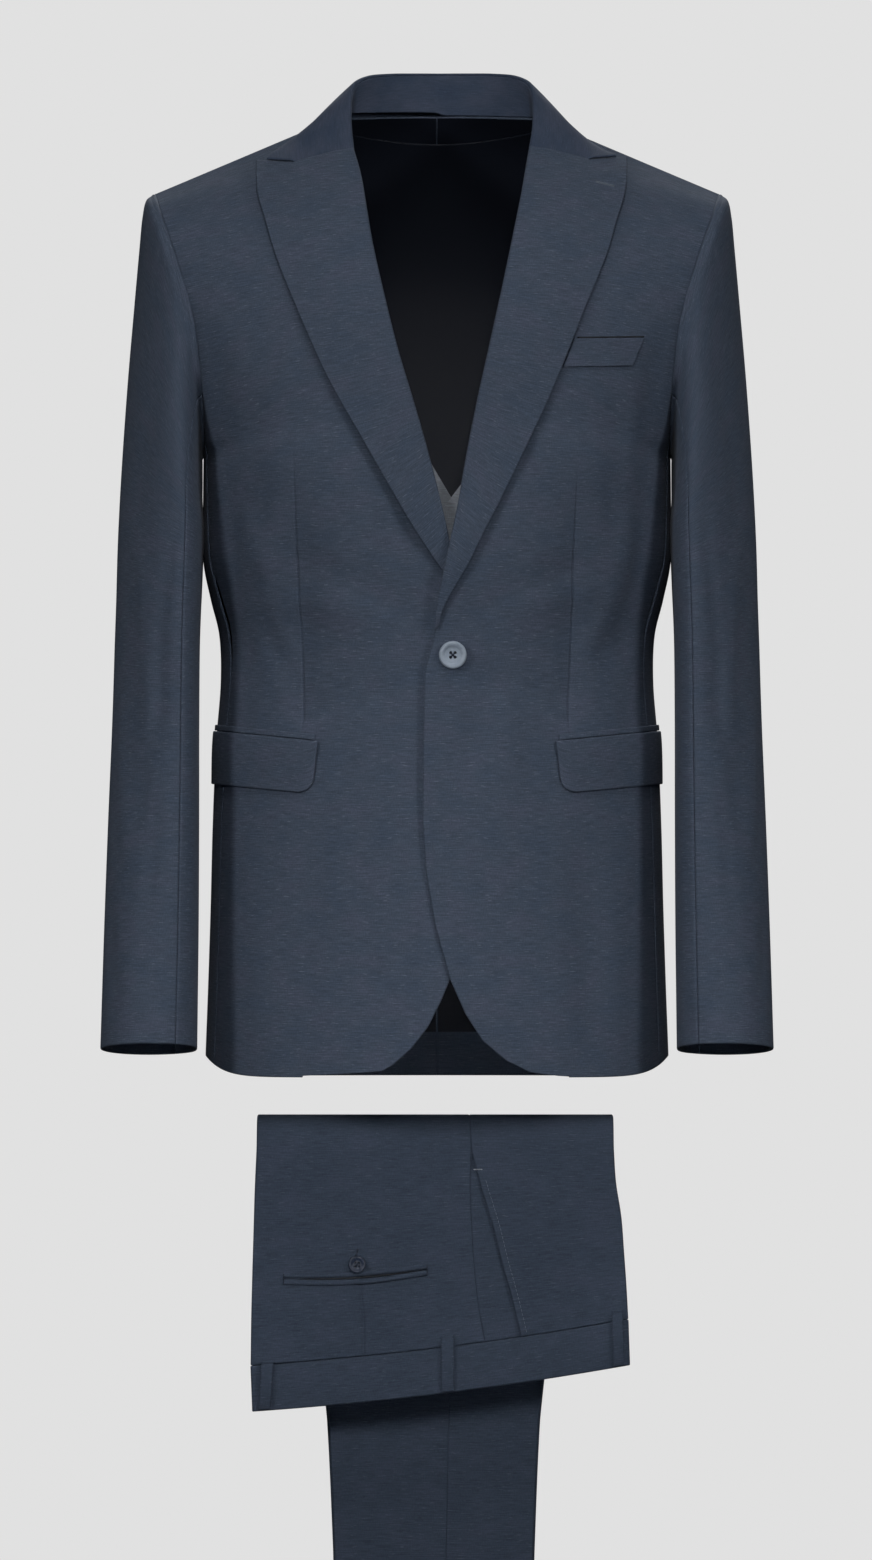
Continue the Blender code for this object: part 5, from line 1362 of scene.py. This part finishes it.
def trouser_place(path, x, depth, trim=0.0):
    """A point of the trousers; depth is in from the outermost face, in mm."""
    path, x, depth = np.broadcast_arrays(path, x, depth)
    radius = BAR_GAP + STACK - depth
    angle = np.pi * np.clip(path, 0.0, 1.0)
    fall = np.where(path <= 0.0, (BAR_Z - waist_z(x) - trim) * -path,
                    (BAR_Z - HEM_Z - trim) * np.maximum(path - 1.0, 0.0))
    return np.stack((x, -radius * np.cos(angle), BAR_Z + radius * np.sin(angle) - fall), -1) * MM


def band_path(x):
    return -(1.0 - BAND / (BAR_Z - waist_z(x)))


def bump(at, centre, wide):
    return np.exp(-((at - centre) / wide) ** 2)


def trouser_relief(path, x):
    """Soft unevenness of the hanging part and the legs, and the back dart's groove, in mm."""
    fall = -path * HANG_FALL
    soft = 0.55 * np.sin(x / 31.0 + fall / 70.0) * np.sin(fall / 43.0 + 1.1)
    soft = soft + 0.7 * bump(x - 0.35 * fall, 62.0, 16.0) * bump(fall, 120.0, 42.0)
    soft = soft - 0.8 * bump(x + 0.2 * fall, -30.0, 13.0) * bump(fall, 142.0, 34.0)
    soft = soft - 0.7 * bump(x, -112.0, 17.0) * bump(fall, 70.0, 46.0)
    soft = soft + 0.5 * bump(x, 104.0, 15.0) * bump(fall, 82.0, 60.0)
    hanging = np.where(path < 0.0, soft * ease(fall, 4.0, 40.0), 0.0)
    down = np.maximum(path - 1.0, 0.0) * LEG_FALL
    legs = (0.5 * np.sin(x / 26.0 + down / 210.0) * np.sin(down / 120.0)
            + 0.4 * bump(x, 30.0, 14.0) * np.sin(down / 190.0 + 0.6)) * ease(down, 5.0, 80.0)
    return hanging + np.where(path > 1.0, legs, 0.0)


BACK_DART = ((-62.4, 109.0), (-58.1, 165.0))   # x and fall of the back dart's two ends


def dart_groove(path, x):
    fall = -path * (BAR_Z - waist_z(x))
    (top_x, top), (low_x, low) = BACK_DART
    line = top_x + (low_x - top_x) * np.clip((fall - top) / (low - top), 0.0, 1.0)
    return -1.0 * bump(x, line, 1.0) * ease(fall, 107.0, 118.0) * (path < 0)


# %% [markdown]
# The panels' rows are even along the path, with a fine rim at the waist seam and the hem. The
# left leg's panels lie outermost, so their face looks out; the right leg's lie innermost and
# look the other way.

# %% Trouser panels
path_steps = with_rims(steps(0, 1, 190), 995.0) * PATH_LENGTHS[2]
PATHS = np.interp(path_steps, (0.0,) + PATH_LENGTHS, (-1.0, 0.0, 1.0, 2.0))


def panel_place(path, column, lift, edges, fold, outer, trim=0.0, shift=(0.0, 0.0)):
    """Columns 0 to 1 cross the panel; beyond the folded edge they turn round the crease."""
    path, column = np.broadcast_arrays(path, column)
    share = np.clip(column, 0.0, 1.0)
    first = size_at(path, edges[0]) + shift[0] + (CREASE_OUT if fold == 0 else 0.0)
    last = size_at(path, edges[1]) + shift[1] - (CREASE_OUT if fold == 1 else 0.0)
    x = first + (last - first) * share
    beyond = -column if fold == 0 else column - 1.0
    turn = np.pi * np.clip(beyond / FOLD, 0.0, 1.0)
    raised = lift / MM + trouser_relief(path, x) * ease(np.abs(share - fold), 0.0, 0.12)
    raised = raised + (dart_groove(path, x) if edges[0] == "left_x" and outer else 0.0)
    if edges[0] == "slant_x":
        raised = raised + 1.5 * (1 - ease(x - first, 0.0, 13.0)) * ease(-path, 0.1, 0.2)
    reach = CREASE_DEPTH + raised
    x = x + (1 if fold else -1) * CREASE_OUT * reach / CREASE_DEPTH * np.sin(turn)
    depth = CREASE_DEPTH - reach * np.cos(turn)
    along = np.where(path < 0.0, path * -band_path(x) * 0.999, path)
    return trouser_place(along, x, depth if outer else STACK - depth, trim)


def trouser_panel(name, edges, fold, outer, trim=0.0, shift=(0.0, 0.0), extra=()):
    face = with_rims(steps(0, 1, 56), 160.0, 1.1)
    face = np.unique(np.concatenate((face, extra)))
    turned = steps(0, FOLD, 9)[1:]
    columns = (np.concatenate((-turned[::-1], face[np.r_[0, 4:len(face)]])) if fold == 0
               else np.concatenate((face[:-4], [1.0], 1.0 + turned)))
    place = partial(panel_place, edges=edges, fold=fold, outer=outer, trim=trim, shift=shift)
    # the trousers' finish is the jacket's cloth drawn darker: painted shade
    shell(name, place, PATHS, columns, 1.9, TROUSER_SHADED_WORSTED, edge=1.0, held="folded",
          rests_on=("trouser_inner_layers",), warp_from=1.0 - fold)


trouser_panel("trouser_left_back", ("left_x", "seam_x"), 0, True, shift=(0.0, 0.05),
              extra=steps(0.455, 0.505, 26))
trouser_panel("trouser_left_front", ("slant_x", "right_x"), 1, True, shift=(-0.05, 0.0))
trouser_panel("trouser_right_back", ("left_x", "seam_x"), 0, False, 2.0, (1.0, 0.05))
trouser_panel("trouser_right_front", ("seam_x", "right_x"), 1, False, 2.0, (-0.05, -1.0))

# %% [markdown]
# The legs' inner sides are hidden in the fold. They share one rounded body, with a groove
# along both edges where the two layers part.

# %% Inner layers
def inner_layer_place(path, around, lift):
    """Around is 0 to 1 round the stack, from its outer face over the right edge."""
    left = size_at(path, "left_x") + 1.5
    right = size_at(path, "right_x") - 1.5
    turn = np.pi * 2 * around
    x = np.sin(turn)
    y = np.cos(turn)
    flat_y = np.sign(y) * np.abs(y) ** 0.35
    groove = 2.0 * np.exp(-(y / 0.22) ** 2)
    reach = (right - left) / 2 - groove + lift / MM
    # the corners are kept square so the stack stays flat to its edges
    across = (left + right) / 2 + np.clip(np.arctan2(x, np.abs(y) * 0.06) / (np.pi / 2),
                                          -1, 1) * reach
    depth = 6.0 - (3.6 + lift / MM) * flat_y
    return trouser_place(path, across, depth, 4.0)


arounds = np.unique(np.concatenate((steps(0.0, 1.0, 33), steps(0.235, 0.265, 13),
                                    steps(0.735, 0.765, 13))))
rings = inner_layer_place(PATHS[:, None], arounds[None, :-1], np.zeros((1, 1)))
count, width = rings.shape[:2]
layer_faces = [(i * width + k, i * width + (k + 1) % width, (i + 1) * width + (k + 1) % width,
                (i + 1) * width + k) for i in range(count - 1) for k in range(width)]
layer_faces += [tuple(range(width))[::-1],
                tuple((count - 1) * width + k for k in range(width))]
layer_mesh = bpy.data.meshes.new("trouser_inner_layers")
layer_mesh.from_pydata(rings.reshape(-1, 3), [], layer_faces)
layer_mesh.materials.append(TROUSER_SHADED_WORSTED)
layer_mesh.shade_smooth()
layer_uv = layer_mesh.uv_layers.new(name="cut")
layer_along, layer_round = running(rings, 0), running(rings, 1)
layer_uv.data.foreach_set("uv", np.stack((layer_round, layer_along), -1).reshape(-1, 2)[
    [v for face in layer_faces for v in face]].astype(np.float32).reshape(-1))
inner_layers = carried("trouser_inner_layers_cloth", layer_mesh)
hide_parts("trouser_inner_layers")
layer_wide, layer_long = float(layer_round[:, -1].max()) / 2, float(layer_along[-1].max())
cuts.append((inner_layers, (layer_wide, layer_long), layer_wide * layer_long * 0.75, "folded",
             ["trouser_left_back", "trouser_right_back"]))

# %% [markdown]
# ## Waistband, belt loops and pockets of the trousers
# The waistband is a doubled strip that turns round at the seat and at the front edge. The
# belt loops are narrow tubes tacked down at both ends. The slant pocket's edge is rolled,
# stitched a few millimetres in, and tacked at its top; behind it a facing shows. The back
# pocket has two narrow jets and a button.

# %% Waistband
def band_place(share, fall, lift, outer=True, inset=0.0, trim=0.0, shift=0.0):
    share, fall = np.broadcast_arrays(share, fall)
    ends = {name: pair[0] + (pair[1] - pair[0]) * fall for name, pair in BAND_ENDS.items()}
    left, right = ends["left_x"] + inset + CREASE_OUT, ends["right_x"] - inset - CREASE_OUT
    x = left + (right - left) * np.clip(share, 0.0, 1.0)
    turn = np.pi * np.clip(np.maximum(-share, share - 1.0) / FOLD, 0.0, 1.0)
    soft = 0.35 * np.sin(x / 17.0) * np.sin(np.pi * fall) + 0.25 * np.sin(x / 41.0 + 1.0)
    raised = lift / MM + (soft + 0.35 * np.sin(np.pi * fall)) * (np.abs(share - 0.5) < 0.5)
    reach = CREASE_DEPTH + raised + shift
    x = x + np.where(share < 0.5, -1.0, 1.0) * CREASE_OUT * reach / CREASE_DEPTH * np.sin(turn)
    depth = CREASE_DEPTH - reach * np.cos(turn)
    seam = band_path(x) * 1.001
    return trouser_place(seam + (-1.0 - seam) * fall, x, depth if outer else STACK - depth, trim)


band_columns = np.concatenate((steps(-FOLD, 0.0, 9)[:-1], steps(0, 1, 110),
                               1.0 + steps(0, FOLD, 9)[1:]))
band_falls = with_rims(steps(0, 1, 12), 36.0, 1.1)
for label, wall, settings in (("left", 2.3, {"shift": 0.3}),
                              ("right", 1.9, {"outer": False, "inset": 1.0, "trim": 2.0})):
    shell("waistband_" + label, partial(band_place, **settings), band_columns, band_falls, wall,
          TROUSER_SHADED_WORSTED, edge=1.1, held="folded",
          rests_on=(f"trouser_{label}_back", f"trouser_{label}_front"), grain=math.pi / 2)

# %% Belt loops
LOOPS = {
    "belt_loop_back": {"seam_x": -134.0, "waist_x": -136.5, "width": 9.6, "above": 3.0},
    "belt_loop_side": {"seam_x": 8.3, "waist_x": 8.3, "width": 10.0, "above": 9.0},
    "belt_loop_front": {"seam_x": 142.5, "waist_x": 144.0, "width": 8.6, "above": 9.0},
}
LOOP_LIFT = 2.5           # mm, a loop's foot off the waistband


def loop_place(size, along, share, lift):
    along, share = np.broadcast_arrays(along, share)
    centre = size["seam_x"] + (size["waist_x"] - size["seam_x"]) * along
    x = centre + (share - 0.5) * size["width"]
    seam = band_path(centre) + size["above"] / (BAR_Z - waist_z(centre))
    bow = 2.0 * np.sin(np.pi * along) ** 0.8
    crown = 0.35 * np.sin(np.pi * share)
    pinch = -0.5 * (bump(along, 0.06, 0.025) + bump(along, 0.95, 0.025))
    return trouser_place(seam + (-0.995 - seam) * along, x,
                         -LOOP_LIFT - bow - crown - pinch - lift / MM)


for name, size in LOOPS.items():
    shell(name, partial(loop_place, size), with_rims(steps(0, 1, 34), 46.0),
          with_rims(steps(0, 1, 10), 9.5), 1.6, TROUSER_SHADED_WORSTED, edge=1.0,
          sewn_to="waistband_left", grain=math.pi)
    for number, at in enumerate((0.045, 0.95)):
        tack = on_cloth(partial(loop_place, size),
                        [(at, share) for share in steps(0.12, 0.88, 12)])
        stitches(f"{name}_tack_{number}", tack, NAVY_THREAD, long=1.1, gap=0.1, radius=0.2,
                 carrier="waistband_left")

# %% Slant pocket
def facing_place(fall, share, lift):
    fall, share = np.broadcast_arrays(fall, share)
    path = -0.12 - 0.88 * fall
    first = size_at(path, "seam_x") - 0.1
    last = np.maximum(size_at(path, "slant_x") + 1.2, first + 0.4)
    x = first + (last - first) * share
    return trouser_place(path * -band_path(x) * 0.999, x, 0.9 + 0.9 * share ** 2 - lift / MM)


shell("side_pocket_facing", facing_place, with_rims(steps(0, 1, 40), 145.0),
      with_rims(steps(0, 1, 12), 28.0), 1.1, TROUSER_SHADED_WORSTED, edge=0.5,
      rests_on=("trouser_left_front",), warp_from=0.0)


left_front_place = partial(panel_place, edges=("slant_x", "right_x"), fold=1, outer=True)


def front_panel_point(path, x_in):
    """Row and column on the left front for stitches a few mm in from the slant edge."""
    first, last = size_at(path, "slant_x"), size_at(path, "right_x") - CREASE_OUT
    return path, x_in / (last - first)


stitches("slant_pocket_stitching", on_cloth(left_front_place, [
    front_panel_point(path, 5.0) for path in steps(-0.985, -0.15, 70)]),
    SLATE_THREAD, long=2.6, gap=0.7, radius=0.17, carrier="trouser_left_front")
TACK_PATH = -0.112        # where along the hanging part the top tack lies
tack_start = on_cloth(left_front_place, [(TACK_PATH, 0.0)])[0][0]
stitches("slant_pocket_tack_top",
         [(tack_start + np.array((x, 0.0, 0.0)) * MM, np.array((0.0, -1.0, 0.0)))
          for x in steps(-2.5, 5.6, 10)],
         PALE_THREAD, long=1.5, gap=-0.1, radius=0.42, carrier="trouser_left_front")
stitches("slant_pocket_tack_low", on_cloth(left_front_place, [
    front_panel_point(-0.972, x) for x in steps(0.4, 5.6, 8)]),
    NAVY_THREAD, long=1.2, gap=0.0, radius=0.3, carrier="trouser_left_front")

# %% Back pocket
BACK_POCKET = {"left_x": -121.5, "right_x": -7.5, "mid_z": -912.0, "rise": 7.5,
               "bow": 3.0, "jet": 4.2}


def back_jet_place(share, fall, lift, upper):
    share, fall = np.broadcast_arrays(share, fall)
    x = BACK_POCKET["left_x"] + (BACK_POCKET["right_x"] - BACK_POCKET["left_x"]) * share
    middle = np.sin(np.pi * np.clip(share, 0, 1))
    height = BACK_POCKET["mid_z"] + BACK_POCKET["rise"] * (share - 0.5)
    height = height - BACK_POCKET["bow"] * middle
    height = height + (1 if upper else -1) * (0.5 + 0.7 * middle + fall * BACK_POCKET["jet"])
    path = -(BAR_Z - height) / (BAR_Z - waist_z(x))
    crown = 0.5 * np.sin(np.pi * np.clip(fall, 0, 1)) + 0.3 * np.sin(x / 9.0) * middle
    return trouser_place(path, x, -1.4 - crown - trouser_relief(path, x) - lift / MM)


# A thin near-black strip between the two jets, set back behind them: painted shade in the pocket's
# opening.
def slit_shade_place(share, fall, lift):
    share, fall = np.broadcast_arrays(share, fall)
    upper = back_jet_place(share, -0.1 + 0.0 * fall, lift, True)
    lower = back_jet_place(share, -0.1 + 0.0 * fall, lift, False)
    point = lower + (upper - lower) * fall[..., None]
    point[..., 1] += 0.85 * MM
    return point


for label, upper in (("upper", True), ("lower", False)):
    shell("back_pocket_jet_" + label, partial(back_jet_place, upper=upper),
          with_rims(steps(0, 1, 70), 114.0), with_rims(steps(0, 1, 8), 4.2, 0.9), 1.2,
          TROUSER_SHADED_WORSTED, edge=1.0, sewn_to="trouser_left_back", grain=math.pi / 2)
shell("back_pocket_slit_shade", slit_shade_place, with_rims(steps(0, 1, 50), 114.0), steps(0, 1, 5), 0.3,
      HOLE_PAINTED_SHADE, edge=0.1, replaces=False, sewn_to="trouser_left_back")
FORWARD = np.array((0.0, -1.0, 0.0))
for label, at in (("left", 0.004), ("right", 0.996)):
    low_end, high_end = (
        back_jet_place(np.array([[at]]), np.array([[1.02]]), np.zeros((1, 1)), upper)[0, 0]
        for upper in (False, True))
    stitches("back_pocket_tack_" + label,
             [(low_end + (high_end - low_end) * t + FORWARD * 0.3 * MM, FORWARD)
              for t in steps(0, 1, 10)],
             NAVY_THREAD, long=1.3, gap=0.0, radius=0.3, carrier="trouser_left_back")
low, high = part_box("back_pocket_button")
button("trouser_back_button", ((low.x + high.x) / 2, high.y, (low.z + high.z) / 2),
       (high.x - low.x) / 2, high.y - low.y, 0.2, 0.12, DARK_RESIN, NAVY_THREAD,
       "back_pocket_button")


def back_panel_y(x, z):
    """How far back the left back panel lies behind the place (x, z), in metres."""
    path = -(BAR_Z - z / MM) / (BAR_Z - waist_z(x / MM))
    flat = np.array([[x / MM]])
    depth = -trouser_relief(np.array([[path]]), flat)
    return float(trouser_place(np.array([[path]]), flat, depth)[0, 0, 1])


# a thread-worked slit: a close row of short stitches on each side of a line
hole_start, hole_end = Vector((-0.0624, 0.0, -0.8918)), Vector((-0.0648, 0.0, -0.9000))
hole_along = hole_end - hole_start
hole_across = hole_along.cross(Vector(FORWARD)).normalized()
for number, side in enumerate((-1, 1)):
    row = [hole_start + hole_along * t + hole_across * side * 0.35 * MM
           for t in steps(0, 1, 14)]
    row = [(Vector((p.x, back_panel_y(p.x, p.z), p.z)), FORWARD) for p in row]
    stitches(f"back_pocket_buttonhole_{number}", row, NAVY_THREAD, long=0.9, gap=-0.1,
             radius=0.42, carrier="trouser_left_back")

# %% [markdown]
# The wearer's left lapel has a worked buttonhole near its peak, in a paler thread.

# %% Lapel buttonhole
hole_rows = [(10.93, ROLL + (1 - ROLL) * share) for share in steps(0.69, 0.885, 16)]
hole_line = on_cloth(partial(lapel_place, 1), hole_rows)
for number, offset in enumerate((-0.45, 0.45)):
    stitches(f"lapel_buttonhole_{number}",
             [(point + np.array((0.0, 0.0, offset * MM)), normal) for point, normal in hole_line],
             SLATE_THREAD, long=1.0, gap=-0.05, radius=0.5, carrier="lapel_left")

# %% [markdown]
# ## The room
# The suit hangs in a plain pale studio. A high softbox, two at the sides and one in front
# light it, and a small low one reaches under the jacket's hem to the trousers. The sides
# fall away into shade, which the dim surroundings hardly fill. The camera stands level with
# the jacket's waist, far back with a long lens, so the suit keeps its proportions. The pale
# floor glows a little of its own, and sends nothing back up to the cloth.

# %% Floor, light and camera
scene = bpy.context.scene
scene.view_settings.view_transform = "Standard"
scene.view_settings.look = "None"

floor_mesh = bpy.data.meshes.new("studio_floor")
floor_work = bmesh.new()
bmesh.ops.create_circle(floor_work, cap_ends=True, segments=96, radius=3.6)
floor_work.to_mesh(floor_mesh)
floor_work.free()
floor = bpy.data.objects.new("studio_floor", floor_mesh)
floor.location = (0.0, 0.0, SOLID_BOX[0][2] - 0.03)
scene.collection.objects.link(floor)
pale, pale_tree, pale_shader = finish_named("pale_studio_paint", 0.9, specular=0.2)
grain = add(pale_tree, "TexNoise", {"Scale": 40.0})
paint = mixed(pale_tree, grain.outputs[0], srgb("#dcdcdc"), srgb("#e2e2e2"))
dress(pale_tree, pale_shader, paint)
pale_tree.links.new(paint, pale_shader.inputs["Emission Color"])
pale_shader.inputs["Emission Strength"].default_value = 0.8
floor_mesh.materials.append(pale)
floor.visible_diffuse = floor.visible_glossy = False

world = bpy.data.worlds.new("studio")
scene.world = world
world.use_nodes = True
sky = world.node_tree.nodes["Background"]
rays = add(world.node_tree, "LightPath", {})
room = mixed(world.node_tree, rays.outputs["Is Camera Ray"], (0.008, 0.009, 0.01, 1.0),
             srgb("#e1e1e1"))
world.node_tree.links.new(room, sky.inputs["Color"])


def soft_light(name, place, aim, size, watts, spread=180):
    light = bpy.data.lights.new(name, "AREA")
    light.shape = "RECTANGLE"
    light.size, light.size_y = size
    light.energy = watts
    light.spread = math.radians(spread)
    thing = bpy.data.objects.new(name, light)
    thing.location = place
    thing.rotation_euler = (Vector(aim) - Vector(place)).to_track_quat("-Z", "Y").to_euler()
    thing.visible_camera = False
    scene.collection.objects.link(thing)


soft_light("high_softbox", (0.0, -1.5, 2.4), (0, 0, -0.5), (0.8, 0.6), 9.2, spread=120)
soft_light("left_softbox", (-2.4, -2.4, 0.4), (0, 0, -0.62), (0.6, 0.6), 2.15, spread=50)
soft_light("right_softbox", (2.4, -2.4, 0.4), (0, 0, -0.62), (0.6, 0.6), 2.1, spread=50)
soft_light("front_softbox", (0.0, -2.4, 0.2), (0, 0, -0.62), (0.4, 0.4), 1.0, spread=56)
soft_light("low_softbox", (0.0, -1.8, -1.15), (0, 0, -0.85), (0.5, 0.15), 0.1, spread=26)
soft_light("back_softbox", (0.2, 2.4, 1.6), (0, 0, -0.45), (1.4, 1.0), 26, spread=120)

IMAGE = (872, 1560)
MM_PER_DOT = 0.79         # at the plane through the middle of the suit
EYE = (-0.0008, -30.0, -0.5214)
lens = bpy.data.cameras.new("camera")
lens.sensor_fit = "VERTICAL"
lens.sensor_height = 36.0
lens.lens = 36.0 * (abs(EYE[1]) - 0.05) / (IMAGE[1] * MM_PER_DOT * MM)
camera = bpy.data.objects.new("camera", lens)
camera.location = EYE
camera.rotation_euler = (math.radians(90), 0.0, 0.0)
scene.collection.objects.link(camera)
scene.camera = camera
print("lens, mm:", round(lens.lens, 1))

# %% [markdown]
# ## The last measurements
# The cut of each piece of cloth is printed as a pattern cutter would list it.

# %% Measure and finish
for thing, (wide, long), area, held, rests_on in cuts:
    print(f"{thing.name}: {wide * 1000:.0f} x {long * 1000:.0f} mm, {area * 1e4:.0f} cm2")
triangles = {thing.name: sum(len(face.vertices) - 2 for face in thing.data.polygons)
             for thing in suit_parts if thing.type == "MESH"}
print("triangles:", sum(triangles.values()), "most:", max(triangles.values()))
